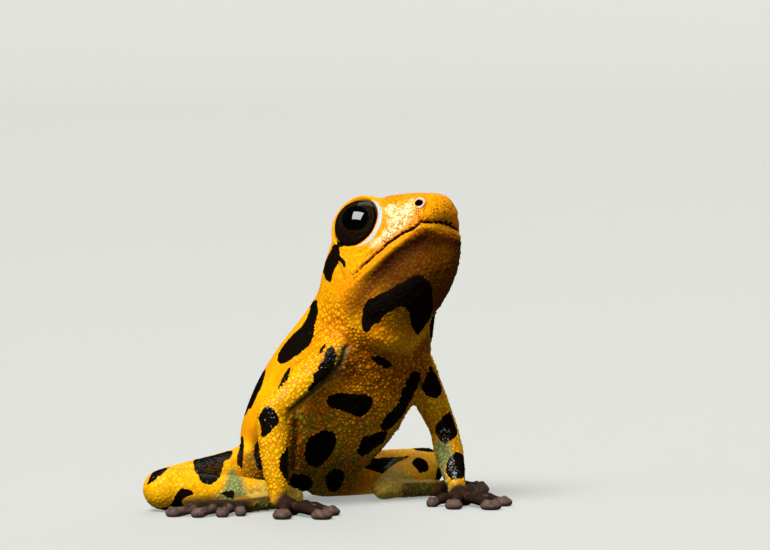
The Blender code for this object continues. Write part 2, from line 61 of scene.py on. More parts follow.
# Distance along the body, rise of the middle line, half width, height above it and depth below it.
TORSO = (
    (-2.7, 1.3, 1.4, 1.25, 1.3),
    (-1.6, 0.85, 2.5, 1.95, 2.0),
    (0.0, 0.4, 3.5, 2.9, 2.75),
    (2.5, 0.15, 4.0, 3.5, 3.2),
    (5.0, 0.0, 4.0, 3.6, 3.2),
    (7.0, 0.1, 3.8, 3.2, 3.1),
    (8.7, 0.4, 3.45, 3.0, 2.9),
    (10.2, 0.8, 3.1, 2.7, 2.7),
    (11.5, 1.1, 2.7, 2.4, 2.4),
)
TORSO_DOMES = (0.5, 1.2)
TORSO_FULLNESS = 2.2

# Round ends: how many rings, and the shares of a step by which the last one stops short of the pole.
DOME_RINGS = 4
DOME_REST = 0.35
LIMB_REST = 0.3

SHOULDER = {"right": (7.6, -3.0, -1.6), "left": (7.4, 2.5, -1.5)}
HIP = (-1.1, 2.0, 0.1)

# The head's own frame: X points out of the snout, and Z = 0 is the plane of the mouth.
MOUTH_TIP = Vector((4.8, 1.9, 15.0))
HEAD_TURN = 10.0
HEAD_PITCH = 37.0
HEAD_LEAN = 10.0

# Distance ahead of the mouth's tip, height of the widest place, half width, height above it and depth below it.
HEAD = (
    (-8.2, -0.6, 2.2, 1.7, 2.6),
    (-7.2, -0.2, 2.6, 2.4, 3.2),
    (-6.2, 0.1, 2.85, 2.9, 3.5),
    (-5.0, 0.2, 2.95, 3.25, 3.5),
    (-3.7, 0.2, 2.75, 3.4, 3.3),
    (-2.3, 0.3, 2.4, 3.1, 2.9),
    (-1.1, 0.5, 2.0, 2.25, 2.3),
    (-0.5, 0.8, 1.7, 1.55, 1.7),
    (-0.1, 1.1, 1.35, 0.95, 1.1),
    (0.2, 1.2, 1.0, 0.65, 0.75),
    (0.42, 1.25, 0.55, 0.35, 0.4),
)
HEAD_DOMES = (1.0, 0.1)
HEAD_FULLNESS = 2.3
EYE = (-3.83, 1.62, 2.12)
EYE_RADIUS = 1.56
EYE_FORWARD = 10.0
EYE_UP = 13.0
GAZE_FORWARD = 27.0
GAZE_UP = 0.0
CORNEA_RADIUS = 1.3
CORNEA_OFFSET = 0.36
CORNEA_EDGE = 60
ORBIT_RADIUS = 1.8
LID_OFFSET = 0.7
LID_THICKNESS = 0.11
LID_RADIUS = 1.505
NOSTRIL = (-0.27, 1.4, 1.28)
NOSTRIL_AIM = (0.55, 1.0, 0.25)
NOSTRIL_RADIUS = 0.17
NOSTRIL_RIM = 0.1
NOSTRIL_DEPTH = 0.35
NOSTRIL_REACH = 0.45
MOUTH_CORNER = -4.9
LIP_RADIUS = 0.13
LIP_INSET = 0.12

# How high the line of the mouth runs at each distance ahead of its tip.
MOUTH_RISE = (
    (-4.9, -0.3),
    (-3.9, -0.22),
    (-3.1, -0.07),
    (-2.3, 0.07),
    (-0.9, 0.1),
    (0.0, 0.14),
    (0.5, 0.12),
)

# Where each limb goes, in the frog's frame.
ARMS = {
    "right": {"elbow": (-0.6, -5.65, 5.25), "wrist": (0.0, -5.65, 0.85), "heading": 10.0},
    "left": {"elbow": (-0.65, 6.2, 3.85), "wrist": (1.9, 4.95, 0.85), "heading": -20.0},
}
LEGS = {
    "right": {"knee": (-4.9, -9.4, 1.15), "heel": (-1.7, -3.3, 0.6), "heading": -88.0},
    "left": {"knee": (-5.8, 9.3, 1.15), "heel": (-2.2, 3.3, 0.6), "heading": 88.0},
}
UPPER_ARM_RADII = (1.05, 0.95, 0.85, 0.75)
FOREARM_RADII = (0.75, 0.8, 0.68, 0.48)
THIGH_RADII = (1.3, 1.4, 1.35, 1.1)
THIGH_BULGE = (-0.35, 0.0, -0.3)
SHANK_RADII = (1.05, 1.05, 0.9, 0.6)
TARSUS_RADII = (0.6, 0.58, 0.55)
TARSUS_LENGTH = 3.6
SOLE_HEIGHT = 0.42

# How far along each half of a limb its two inner points lie.
ARM_SHARES = (0.35, 0.7)
THIGH_SHARES = (0.35, 0.7)
SHANK_SHARES = (0.3, 0.65)

# Each digit's angle from the way the hand or foot points, towards the body's outer side, its length and pad.
FINGERS = ((-80.0, 1.5, 0.34), (-32.0, 1.9, 0.48), (12.0, 2.5, 0.58), (58.0, 1.9, 0.52))
TOES = ((-50.0, 1.3, 0.3), (-25.0, 2.0, 0.36), (-4.0, 2.8, 0.4), (14.0, 3.6, 0.44), (36.0, 2.3, 0.4))
DIGIT_RADIUS = 0.28
DIGIT_SWELLS = (1.15, 0.95, 1.08, 0.88, 0.98)
DIGIT_JOINT = 0.55
DIGIT_HEIGHT = 0.2
DIGIT_ARCH = 0.12
PAD_THICKNESS = 0.28
SCUTE_SHARE = 0.42
SCUTE_AHEAD = 0.1
SCUTE_RISE = 0.14
SCUTE_THICKNESS = 0.19
PALM_LENGTH = 0.75
PALM_RADII = (0.5, 0.62)
PALM_FLATNESS = 0.75
WRIST_DROP = 0.1
TARSUS_FLATNESS = 0.85
DIGIT_START = {"finger": 0.3, "toe": 0.25}

# Places where flesh flows together: radius of the zone, rounds of smoothing, and its place along the limb.
NECK_MIDDLE = (-7.0, 0, -0.5)
NECK_ZONE = (5.2, 160)
ARM_ZONE = (1.9, 30)
ARM_ZONE_PLACE = 0.1
THIGH_ZONE = (2.6, 60)
THIGH_ZONE_PLACE = 0.3
ORBIT_ZONE = (2.2, 14)

BODY_VOXEL = 0.13
BODY_SMOOTHING = 6
SKIN_VOXEL = 0.043
SKIN_SMOOTHING = 4

# The photograph's camera: turn and rise in degrees, distance, and the frog's origin and scale in pixels.
PHOTO_SIZE = (770, 550)
VIEW_TURN = 50.0
VIEW_RISE = 3.0
VIEW_DISTANCE = 260.0
ORIGIN_PIXEL = (362.0, 507.0)
PIXELS_PER_MM = 19.0

# Outlines of the black spots that the photograph shows, in its pixels.
SPOTS = {
    "neck": ((334, 245), (338, 246), (339.5, 253), (339, 259), (336, 266), (333, 272), (331.5, 280),
        (329.5, 282), (326, 279.5), (324, 274), (324, 265), (328, 257), (331.5, 250)),
    "neck_hook": ((338, 254), (341, 257), (344.5, 262), (345, 266.5), (343.5, 267), (341.5, 262.5),
        (338.5, 259)),
    "under_eye": ((338, 239), (343, 239.5), (350, 242), (346, 244.5), (341, 246.5), (337.5, 245)),
    "throat": ((363, 313.5), (362, 321), (364, 329), (369, 330), (372, 325), (379, 322), (386, 314.5),
        (393, 310), (402, 307), (408, 310), (410, 317.5), (412, 326), (417, 334.5), (420.5, 332), (426, 328),
        (431, 317.5), (433, 301), (431, 285), (424, 277), (418.5, 275), (412, 277), (405, 282), (397.5, 285),
        (391, 289.5), (381, 293.5), (374.5, 297), (368, 300), (364, 306)),
    "back_teardrop": ((313.5, 301), (317, 302), (317, 312.5), (314.5, 323.5), (313.5, 334), (310, 342),
        (304, 349.5), (295, 356), (286.5, 362), (280, 363), (277.5, 358), (280.5, 350.5), (286.5, 342),
        (295, 333), (304, 323.5), (309, 312.5), (311, 305)),
    "back_edge": ((263.5, 363.5), (265, 370), (262.5, 383), (257, 394), (253, 403.5), (249.5, 409),
        (247.5, 406), (250.5, 394), (256, 381), (259.5, 371)),
    "flank_edge": ((242, 437), (239, 450), (237, 462), (242, 468), (243, 455), (243.5, 443)),
    "armpit": ((331, 345.5), (334, 348.5), (336, 353.5), (337.5, 355), (335.5, 360.5), (335, 366.5),
        (331.5, 373), (327, 379), (320, 383.5), (313, 390.5), (308.5, 391), (310.5, 385), (314, 379.5),
        (312, 375), (316.5, 372), (319, 366), (323.5, 358.5), (326, 350.5)),
    "shoulder_slit": ((325.2, 343), (325, 346), (322.8, 350), (319.8, 353.5), (319.4, 352), (321, 347.5),
        (323, 344.5)),
    "arm_slit": ((290, 367.8), (289.5, 374), (285.5, 381), (281, 386), (278.5, 388), (279.5, 384), (283, 377),
        (286.8, 371)),
    "chest": ((372, 357.5), (381, 357), (389.5, 362), (392, 366.5), (385.5, 369), (381, 366), (376.5, 363.5),
        (372.5, 360.5)),
    "belly_top": ((326.5, 400.5), (330, 396), (336.5, 393.5), (345.5, 393.5), (358, 395), (367.5, 395),
        (373, 399.5), (371.5, 407.5), (367, 414), (359, 417.5), (351.5, 415), (343.5, 411.5), (334.5, 409.5),
        (329.5, 407)),
    "belly_side": ((309, 438), (317, 433.5), (324, 431), (332, 432.5), (336.5, 438), (335.5, 446), (332, 454),
        (325.5, 462), (317, 467.5), (309, 465.5), (304.5, 457.5), (305, 448)),
    "belly_slant": ((358, 450.5), (363, 439), (370.5, 435.5), (379.5, 432.5), (388, 431), (386.5, 438),
        (381, 444.5), (373, 450.5), (365, 456), (360.5, 456)),
    "left_armpit": ((412, 374), (420, 372), (421, 380), (416, 392), (411, 402), (406, 412), (400, 419),
        (398, 410), (401, 398), (405, 386)),
    "belly_low": ((326, 476), (332, 471), (340, 470), (345, 476), (342, 487), (334, 492), (327, 488)),
    "groin": ((291, 478), (300, 475), (311, 478), (312, 488), (302, 492), (291, 491)),
    "elbow": ((265.5, 407), (270, 407), (275, 411), (278.5, 417), (278.5, 422.5), (275, 427), (269.5, 432.5),
        (265.5, 436), (261.5, 436.5), (261, 431), (260.5, 425.5), (258.5, 419.5), (260.5, 412.5)),
    "forearm_outer": ((259.5, 438), (254.5, 447), (254, 456), (257, 466), (261, 471), (262, 466), (261, 460),
        (259.5, 455), (259, 448.5), (260.5, 441)),
    "forearm_inner": ((288, 447.5), (284, 451.5), (281, 457), (279.5, 464), (280, 470), (284, 477),
        (288.5, 481.5), (294, 478), (295, 465), (294, 452)),
    "left_upper_arm": ((431.5, 366), (435.5, 372), (440, 381.5), (442, 390), (439, 397), (431.5, 398),
        (425, 394), (422, 386.5), (426, 378), (428.5, 371)),
    "left_forearm": ((450, 412), (453.5, 420), (457, 429.5), (456.5, 436), (450.5, 440), (446, 444),
        (440, 440), (436, 433), (435.5, 425.5), (441, 421), (444, 415)),
    "left_wrist": ((456.5, 451.5), (462, 454.5), (467, 460), (468, 466), (466, 474.5), (459.5, 480),
        (453.5, 483), (450.5, 478), (446, 473.5), (446, 466.5), (449, 458)),
}

# Other patches in the same pixels: glare on the wet face, painted on and partly pale skin; pale green skin;
# olive skin in the armpit, partly painted shade; freckles.
PATCHES = {
    "cream_glare": (
        ((384, 206), (402, 203), (412, 206), (414, 214), (410, 221), (402, 229), (390, 238), (378, 246),
            (370, 249), (370, 243), (380, 234), (386, 226), (386, 216)),
        ((398, 206), (405, 202), (413, 199), (414, 206), (406, 209), (399, 210.5)),
    ),
    "pale": (
        ((229, 470), (234, 461), (240, 470), (246, 488), (248, 500), (240, 512), (226, 515), (214, 508),
            (206, 503), (220, 492), (226, 480)),
        ((436, 440), (450, 444), (452, 456), (446, 468), (448, 482), (456, 492), (444, 496), (438, 480),
            (434, 458)),
    ),
    "olive": (
        ((339, 345), (350, 348), (347, 362), (334, 380), (316, 396), (300, 408), (292, 412), (300, 400),
            (316, 384), (330, 368), (338, 356)),
    ),
    "freckled": (
        ((386, 196), (400, 197), (401, 202), (394, 204), (386, 203)),
        ((413, 190.5), (422, 191), (421, 196.5), (413, 197)),
    ),
}

# Creases in the same pixels, each with its depth and half width in millimetres. The skin is also painted darker
# in them, as painted shade.
FOLDS = (
    (((347, 347), (344, 360), (335, 374), (320, 389), (304, 402), (292, 412)), 0.22, 0.17),
    (((292, 414), (294, 430), (293, 450), (292, 470)), 0.14, 0.3),
    (((336, 320), (326, 327), (314, 337), (303, 349)), 0.04, 0.1),
    (((336, 262), (341, 270), (344, 280)), 0.05, 0.1),
    (((414, 372), (419, 380), (422, 390)), 0.08, 0.1),
)

# The same for the right leg, which the photograph shows lower than the floor carries it.
LEG_RISE = 14.0
LEG_SPOTS = {
    "thigh_top": ((194, 469.5), (205, 468.5), (216, 467), (228, 463.5), (232, 465), (231, 470.5), (224.5, 475),
        (222.5, 482), (219.5, 491), (213, 497), (207.5, 498), (201.5, 495.5), (199, 490), (195, 484),
        (194, 476.5)),
    "knee_edge": ((171, 478.5), (161.5, 488), (152, 495.5), (147, 499), (152, 487), (160, 481)),
    "knee_low": ((180, 503.5), (185.5, 503), (191.5, 505), (196, 511.5), (196, 519.5), (191.5, 525.5),
        (183.5, 529.5), (170, 530), (159.5, 527), (150.5, 521.5), (158, 522), (165.5, 522), (171, 518.5),
        (174.5, 511.5)),
    "shank_low": ((215.5, 511.5), (223, 506), (232.5, 505), (234.5, 513), (240.5, 517), (240.5, 525),
        (228, 528.5), (215.5, 532), (210.5, 528.5), (211, 520.5)),
}

# Spots out of the photograph's sight: each a chain of distance along its part, angle round it from the back
# towards the left, and radius.
HIDDEN_SPOTS = {
    "torso": (
        ((9.6, 62, 0.8), (8.6, 70, 0.95), (7.4, 66, 0.7)),
        ((8.8, 8, 0.55), (7.8, 2, 0.75)),
        ((5.9, 38, 0.8), (4.9, 30, 0.95), (4.0, 34, 0.6)),
        ((5.6, -22, 0.7), (4.7, -16, 0.6)),
        ((6.0, 84, 0.6), (5.0, 90, 0.8)),
        ((3.1, 2, 0.8), (2.2, -6, 0.9)),
        ((2.4, 62, 0.75), (1.4, 58, 0.85)),
        ((2.3, -52, 0.7), (1.3, -58, 0.8)),
        ((0.2, 22, 0.75), (-0.5, 14, 0.65)),
        ((-0.3, -30, 0.65), (-1.0, -36, 0.6)),
        ((3.2, 118, 0.75), (2.2, 124, 0.9)),
        ((0.6, 100, 0.6), (-0.2, 92, 0.7)),
        ((5.6, 146, 0.6), (4.8, 152, 0.75)),
    ),
    "head": (
        ((-7.2, 48, 0.55), (-6.4, 55, 0.75), (-5.6, 66, 0.6)),
        ((-6.6, -6, 0.5), (-5.8, 4, 0.62)),
        ((-6.9, 108, 0.5), (-6.1, 122, 0.65), (-5.2, 128, 0.5)),
        ((-2.3, 12, 0.3), (-1.9, 2, 0.26)),
    ),
}

# Spots on the limbs' hidden sides: how far along the limb each lies, the way it faces, and its radius, which
# tapers to its other end.
SPOT_TAPER = 0.85
LIMB_SPOTS = {
    ("left", "thigh"): ((0.4, (-0.3, 0, 1), 0.6), (0.75, (-1, 0, 0.4), 0.55), (0.97, (0.2, 0.4, 1), 0.55)),
    ("left", "shank"): ((0.42, (1, 0, 0.7), 0.48),),
    ("left", "upper_arm"): ((0.5, (-0.2, 1, 0.4), 0.5),),
    ("left", "forearm"): ((0.08, (-0.6, 1, 0), 0.42), (0.62, (-0.5, 1, 0), 0.36)),
    ("right", "thigh"): ((0.38, (-1, 0, 0.5), 0.6), (0.74, (-1, 0, 0.2), 0.5)),
    ("right", "shank"): ((0.35, (-1, 0.2, 0.3), 0.4),),
}

# Where each zone of the skin grows softly from none, at the first value, to all, at the second.
STEPS = {
    # Limbs and digits: distance from the middle line in radii, and share of the length.
    "limb": (1.7, 1.15),
    "arm_start": (0.03, 0.22),
    "leg_start": (0.05, 0.22),
    "heel": (1.5, 1.2),
    "heel_start": (0.8, 0.95),
    "tarsus": (1.9, 1.3),
    "digit": (3.2, 2.0),
    "digit_start": (-0.3, 0.2),
    "pad": (3.2, 2.6),
    "pad_start": (0.75, 0.9),
    # Distance from the middle of the palm or the eye.
    "palm": (1.15, 0.6),
    "socket": (2.3, 1.9),
    # Distance along the head's X.
    "head": (-8.2, -6.2),
    "jaw": (-7.2, -5.8),
    "throat": (-6.8, -3.0),
    "neck_end": (-3.5, -5.7),
    "snout": (-3.6, -1.2),
    "front": (-2.2, -0.6),
    "chin": (-0.9, 0.3),
    "mouth_start": (-5.2, -4.0),
    "mouth_wide": (-3.2, -2.2),
    "mouth_front": (-1.0, -0.4),
    "mouth_thin": (-0.8, -0.2),
    "lip_freckles": (-4.2, -2.8),
    # Height above the mouth's line.
    "underside": (-0.3, -0.64),
    "recess": (-0.34, -0.82),
    "recess_end": (-2.3, -1.0),
    "cheek": (-0.6, -0.2),
    "face": (-0.6, -0.3),
    "snout_side": (-0.1, 0.2),
    "freckles_low": (-0.2, 0.0),
    "freckles_high": (0.7, 0.05),
    # Height and side in the head's frame.
    "cheek_top": (1.6, 0.2),
    "near_side": (0.4, -0.8),
    # How far the skin faces towards the frog's back, or up.
    "belly": (0.15, -0.35),
    "chest_face": (-0.4, -0.7),
    "mound_face": (-0.3, -0.65),
    "neck_face": (0.55, -0.1),
    "downward": (0.1, -0.7),
    # Distance along the body, and to its left.
    "belly_end": (5.2, 7.2),
    "low_belly": (6.5, 2.5),
    "groin": (3.0, 1.2),
    "chest": (5.6, 6.8),
    "chest_end": (9.1, 8.3),
    "chest_left": (0.5, 2.0),
    "neck_side": (4.0, 8.0),
    # Depth inside a patch of the photograph, or of a fold.
    "olive": (-0.15, 0.15),
    "pale": (-0.2, 0.25),
    "cream_glare": (-0.12, 0.18),
    "freckled": (-0.1, 0.1),
    "crease": (0.0, 0.14),
    # The groove under an eye: height along the eye's axis, then height and distance ahead of its middle.
    "lid_height": (-0.6, 0.1),
    "lid_low": (0.9, 0.2),
    "lid_back": (-0.9, 0.1),
    "crescent": (0.15, 0.92),
}

# Soft ridges, and grooves where it is below 0: height in millimetres, the middle and the half width.
RIDGES = {
    "mouth": (-0.12, 0.0, 0.06),
    "lower_lip": (0.02, -0.34, 0.18),
    "upper_lip": (0.03, 0.3, 0.2),
    "chin": (0.55, -0.34, 0.42),
    "mound": (0.4, 9.35, 0.6),
    "mound_across": (1.0, -1.2, 1.6),
    "under_lid": (-0.1, 1.84, 0.1),
    "lid_bag": (0.05, 2.05, 0.12),
    "lip_notch": (0.09, -0.42, 0.13),
}
RECESS_DEPTH = 0.28
FAR_SIDE_RECESS = 0.12

# Waves in the line between the lips, and in the rows of granules: height, waves in a length of 2 pi, and start.
MOUTH_WAVES = ((0.025, 3.1, 0.6), (0.015, 7.3, 0.0))
DRIFT = ((0.05, 5.1, 1.0), (0.03, 11.3, 0.0))
MOUTH_FRONT_RISE = 0.08

# The half width of the line between the lips, how much wider and then thinner it gets ahead, and how fast it
# ends behind the mouth's corner.
MOUTH_WIDTH = 0.03
MOUTH_WIDER = 0.035
MOUTH_THINNER = 0.02
MOUTH_END = 0.4

# The shade under the jaw: its depth below the mouth and half width at the chin, and how much more at the neck.
SHADE_DEPTH = (0.8, 0.5)
SHADE_WIDTH = (0.42, 0.14)

# The pale ring round a nostril, its black middle, and the pale crescent in front of an eye, which is partly the
# lid's pale wet edge and partly a painted highlight on it.
RING_RADIUS = 0.28
RING_WIDTH = 0.045
NOSTRIL_BLACK = 0.19
CRESCENT_RADIUS = 1.43
CRESCENT_WIDTH = 0.12
CRESCENT_AIM = (0.8, 0, -0.6)

# A distance beyond every ring, groove and granule.
OUT_OF_REACH = 9

# The zones that the skin's material reads.
PAINTED = ("yellow", "belly", "low_belly", "throat", "pale", "digit", "pad", "grain", "granule", "tone", "fine",
           "face", "fold", "jaw_shade", "chest")

# How coarse the granules are in each zone, on top of an even grain all over.
EVEN_GRAIN = 0.12
GRAIN = {"underside": 0.6, "belly_skin": 0.85, "arms": 0.75, "leg": 0.4, "cheek": 0.25, "neck_side": 0.7,
         "olive": 0.8, "pale_skin": 0.3}

# Each kind of granule's size and seed, then heights: of granules, what large ones have more, lumps, fine grain;
# then the share of lumps that carry small granules, a granule's least height and what chance adds, as shares,
# and the levels in granules and lumps that stay where the skin is.
GRANULES = {"small": (0.19, 7), "wide": (0.27, 3), "fine": (0.12, 11), "lump": (0.6, 5)}
GRANULE_HEIGHT = 0.055
LARGE_HEIGHT = 0.02
LUMP_HEIGHT = 0.1
FINE_HEIGHT = 0.012
SMALL_SHARE = 0.55
LEAST_GRANULE = 0.6
CHANCE_GRANULE = 0.8
GRANULE_LEVEL = 0.6
LUMP_LEVEL = 0.4

# Large primes that turn the three numbers of a granule's cell into one random start, and its seed's.
HASH = (73856093, 19349663, 83492791)
HASH_SEED = 7919

# The factor, addend and limit of the random numbers, how many of them differ, and how near the edge of its cell
# a granule's middle may be.
RANDOM = (1103515245, 12345, 2147483648)
CHANCES = 1024
CELL_EDGE = 0.1

# Patches beyond their outlines: the depth far away from them, how far before and behind its middle each reaches
# and has ended, how much it loses where the skin turns away, and how many pixels round it are looked at.
FAR = -3.0
SPOT_REACH = 2.6
SPOT_END = 4.16
WRAP = 1.6
WRAP_FACING = 0.1
MARGIN = 25


def smooth(low, high, value):
    """0 below low and 1 above high, with an even rise between."""
    share = np.clip((value - low) / (high - low), 0, 1)
    return share * share * (3 - 2 * share)


def step(name, value):
    return smooth(*STEPS[name], value)


def pressed(distance, width):
    """A soft groove or ridge of about that half width."""
    return np.exp(-((distance / width) ** 2))


def ridge(name, place):
    height, middle, width = RIDGES[name]
    return height * pressed(place - middle, width)


def frame_of(origin, turn, pitch, lean):
    """A frame at origin, turned to the left, pitched up and leaning to the left, in degrees."""
    return (
        Matrix.Translation(origin)
        @ Matrix.Rotation(radians(turn), 4, "Z")
        @ Matrix.Rotation(radians(-lean), 4, "X")
        @ Matrix.Rotation(radians(-pitch), 4, "Y")
    )


def view_axes():
    """The camera's right, up and back."""
    turn, rise = radians(VIEW_TURN), radians(VIEW_RISE)
    right = np.array((cos(turn), sin(turn), 0))
    back = np.array((sin(turn) * cos(rise), -cos(turn) * cos(rise), sin(rise)))
    return right, np.cross(back, right), back


BODY = frame_of(PELVIS, 0.0, BODY_PITCH, BODY_LEAN)
SKULL = frame_of(MOUTH_TIP, HEAD_TURN, HEAD_PITCH, HEAD_LEAN)
RIGHT, UP, BACK = view_axes()
PHOTO_MIDDLE = np.array(PHOTO_SIZE) / 2
ACROSS, DOWN = (PHOTO_MIDDLE - ORIGIN_PIXEL) / PIXELS_PER_MM
TARGET = RIGHT * ACROSS - UP * DOWN


def inside(matrix, points):
    """Points of the frog's frame in the frame that matrix gives."""
    inverse = np.array(matrix.inverted())
    return points @ inverse[:3, :3].T + inverse[:3, 3]


def spline(rows, steps=6, closed=False):
    """Rows of numbers joined by a smooth open or closed curve, with steps rows for each stretch."""
    rows = np.array(rows, float)
    before, after = (rows[-1], rows[:2]) if closed else (2 * rows[0] - rows[1], 2 * rows[-1] - rows[-2])
    padded = np.vstack([before, rows, after])
    found = []
    for a, b, c, d in zip(padded, padded[1:], padded[2:], padded[3:]):
        for t in np.arange(steps) / steps:
            bend = (2 * a - 5 * b + 4 * c - d) * t**2 + (3 * b - a - 3 * c + d) * t**3
            found.append(0.5 * (2 * b + (c - a) * t + bend))
    return np.array(found if closed else [*found, rows[-1]])


def add_object(name, data):
    piece = bpy.data.objects.new(name, data)
    bpy.context.scene.collection.objects.link(piece)
    return piece


def formed(name, build, matrix=None):
    """An object whose mesh build fills through bmesh, set into the frame that matrix gives."""
    made = bmesh.new()
    build(made)
    bmesh.ops.recalc_face_normals(made, faces=made.faces)
    mesh = bpy.data.meshes.new(name)
    made.to_mesh(mesh)
    made.free()
    if matrix is not None:
        mesh.transform(matrix)
    return add_object(name, mesh)


def stitched(made, rings, closed=False):
    """Rings of vertices with faces between them, and between the last and the first if closed."""
    rows = [[made.verts.new(p) for p in ring] for ring in rings]
    for low, high in zip(rows, rows[1:] + rows[:1] if closed else rows[1:]):
        for i in range(len(low)):
            j = (i + 1) % len(low)
            made.faces.new((low[i], low[j], high[j], high[i]))
    return rows


def turns(count):
    return [2 * pi * k / count for k in range(count)]


def lofted(name, rings, matrix=None):
    """A closed form through rings of points, with a fan over each end."""

    def build(made):
        rows = stitched(made, rings)
        for ring in (rows[0], rows[-1]):
            hub = made.verts.new(sum((v.co for v in ring), Vector()) / len(ring))
            for i in range(len(ring)):
                made.faces.new((ring[i], ring[(i + 1) % len(ring)], hub))

    return formed(name, build, matrix)


def oval(centre, side, up, half_width, rise, drop, count=32, fullness=2.0):
    """One ring, rounder or squarer by its fullness."""
    points = []
    for angle in turns(count):
        c, s = cos(angle), sin(angle)
        across = copysign(abs(c) ** (2 / fullness), c) * half_width
        along = copysign(abs(s) ** (2 / fullness), s) * (rise if s > 0 else drop)
        points.append(Vector(centre) + Vector(side) * across + Vector(up) * along)
    return points


def domed(rows, domes):
    """Rows of (distance, sizes...) with round ends added, each as deep as its dome."""
    start, end = [], []
    for k in range(1, DOME_RINGS + 1):
        angle = pi / 2 * k / (DOME_RINGS + DOME_REST)
        for row, dome, ring in ((rows[0], -domes[0], start), (rows[-1], domes[1], end)):
            more = row.copy()
            more[0] += dome * sin(angle)
            more[-3:] *= cos(angle)
            ring.append(more)
    return np.vstack([start[::-1], rows, end])


def cross_sections(name, rows, domes, fullness, matrix):
    """The torso or the head."""
    rings = [
        oval((x, 0, z), (0, 1, 0), (0, 0, 1), *sizes, fullness=fullness)
        for x, z, *sizes in domed(spline(rows), domes)
    ]
    return lofted(name, rings, matrix)


def mouth_height(x):
    """How high the line of the mouth runs at distance x."""
    rise = spline(MOUTH_RISE)
    return np.interp(x, rise[:, 0], rise[:, 1])


def mouth_line(inset, height):
    """Points along the right half of the mouth from its corner to the tip, then back along the left half."""
    half = []
    for x, z, w, _, down in spline(HEAD, 8):
        level = mouth_height(x)
        drop = abs(z - level) / down
        if x > MOUTH_CORNER and drop < 1:
            half.append(Vector((x, w * (1 - drop**HEAD_FULLNESS) ** (1 / HEAD_FULLNESS), level)))
    points = [mirrored(p, -1) for p in half] + half[::-1]
    moved = []
    for before, point, after in zip([points[0], *points], points, [*points[1:], points[-1]]):
        along = (after - before).normalized()
        moved.append(point - Vector((along.y, -along.x, 0)) * inset + Vector((0, 0, height)))
    return moved


def limb(points, radii, flatness=1.0):
    """A form along a smooth line with a radius at each point, blunt at its start and round at its end."""
    rows = spline([(*p, r) for p, r in zip(points, radii)])
    places, sizes = [Vector(row[:3]) for row in rows], [row[3] for row in rows]
    start = places[0]
    first, last = (start - places[1]).normalized(), (places[-1] - places[-2]).normalized()
    for k in range(1, DOME_RINGS + 1):
        angle, before = (pi / 2 * i / (DOME_RINGS + LIMB_REST) for i in (k, k - 1))
        ahead = sin(angle) - sin(before)
        places = [start + first * radii[0] * ahead, *places, places[-1] + last * radii[-1] * ahead]
        sizes = [radii[0] * cos(angle), *sizes, radii[-1] * cos(angle)]
    rings = []
    for before, place, after, size in zip([places[0], *places], places, [*places[1:], places[-1]], sizes):
        along = (after - before).normalized()
        side = along.cross(Vector((0, 0, 1)))
        side = side.normalized() if side.length > 0.05 else along.orthogonal().normalized()
        rings.append(oval(place, side, side.cross(along), size, size * flatness, size * flatness, 16))
    return lofted("limb", rings)


def ball(name, centre, radii, matrix=None, segments=24):
    """An ellipsoid."""
    sphere = {
        "u_segments": segments,
        "v_segments": segments * 2 // 3,
        "radius": 1.0,
        "matrix": Matrix.Translation(centre) @ Matrix.Diagonal((*radii, 1.0)),
    }
    return formed(name, lambda made: bmesh.ops.create_uvsphere(made, **sphere), matrix)


def torus(matrix, major, minor):
    """A ring round the Z axis of matrix."""
    rings = []
    for turn in turns(48):
        out = Vector((cos(turn), sin(turn), 0))
        rings.append([
            out * (major + minor * cos(a)) + Vector((0, 0, minor * sin(a))) for a in turns(12)
        ])
    return formed("torus", lambda made: stitched(made, rings, closed=True), matrix)


def facing(centre, direction):
    """A frame at centre whose Z axis is direction."""
    return Matrix.Translation(centre) @ Vector(direction).to_track_quat("Z", "Y").to_matrix().to_4x4()


def eye_direction(side, forward=EYE_FORWARD, upward=EYE_UP):
    """The way an eye points from its socket, turned forward and up by these degrees."""
    ahead, raised = radians(forward), radians(upward)
    level = cos(raised)
    return Vector((sin(ahead) * level, side * cos(ahead) * level, sin(raised)))


def mirrored(place, side):
    return Vector((place[0], place[1] * side, place[2]))


def heading_of(degrees):
    return Vector((cos(radians(degrees)), sin(radians(degrees)), 0))


def stretch(start, end, shares, bulge=(0, 0, 0)):
    """The points along one half of a limb."""
    return [start, *(start.lerp(end, share) + Vector(bulge) for share in shares), end]


def arm_line(name):
    """The points from shoulder to elbow and from elbow to wrist."""
    elbow, wrist = (Vector(ARMS[name][joint]) for joint in ("elbow", "wrist"))
    return stretch(BODY @ Vector(SHOULDER[name]), elbow, ARM_SHARES), stretch(elbow, wrist, ARM_SHARES)


def leg_line(name):
    """The points from hip to knee and from knee to heel."""
    knee, heel = (Vector(LEGS[name][joint]) for joint in ("knee", "heel"))
    hip = BODY @ mirrored(HIP, SIDES[name])
    return stretch(hip, knee, THIGH_SHARES, THIGH_BULGE), stretch(knee, heel, SHANK_SHARES)


def palm_of(name):
    x, y, _ = ARMS[name]["wrist"]
    return Vector((x, y, SOLE_HEIGHT)) + heading_of(ARMS[name]["heading"]) * PALM_LENGTH


def sole_of(name):
    x, y, _ = LEGS[name]["heel"]
    return Vector((x, y, SOLE_HEIGHT)) + heading_of(LEGS[name]["heading"]) * TARSUS_LENGTH


def digits(name, kind):
    """The root, direction, length and pad of each finger or toe of one side."""
    finger = kind == "finger"
    pose, centre, rows = (ARMS, palm_of(name), FINGERS) if finger else (LEGS, sole_of(name), TOES)
    found = []
    for angle, length, pad_radius in rows:
        direction = heading_of(pose[name]["heading"] + angle * SIDES[name])
        found.append((centre + direction * DIGIT_START[kind], direction, length, pad_radius))
    return found


def digit_line(root, direction, length):
    tip = Vector((root.x, root.y, 0)) + direction * length + Vector((0, 0, DIGIT_HEIGHT))
    return [root, root.lerp(tip, DIGIT_JOINT) + Vector((0, 0, DIGIT_ARCH)), tip]


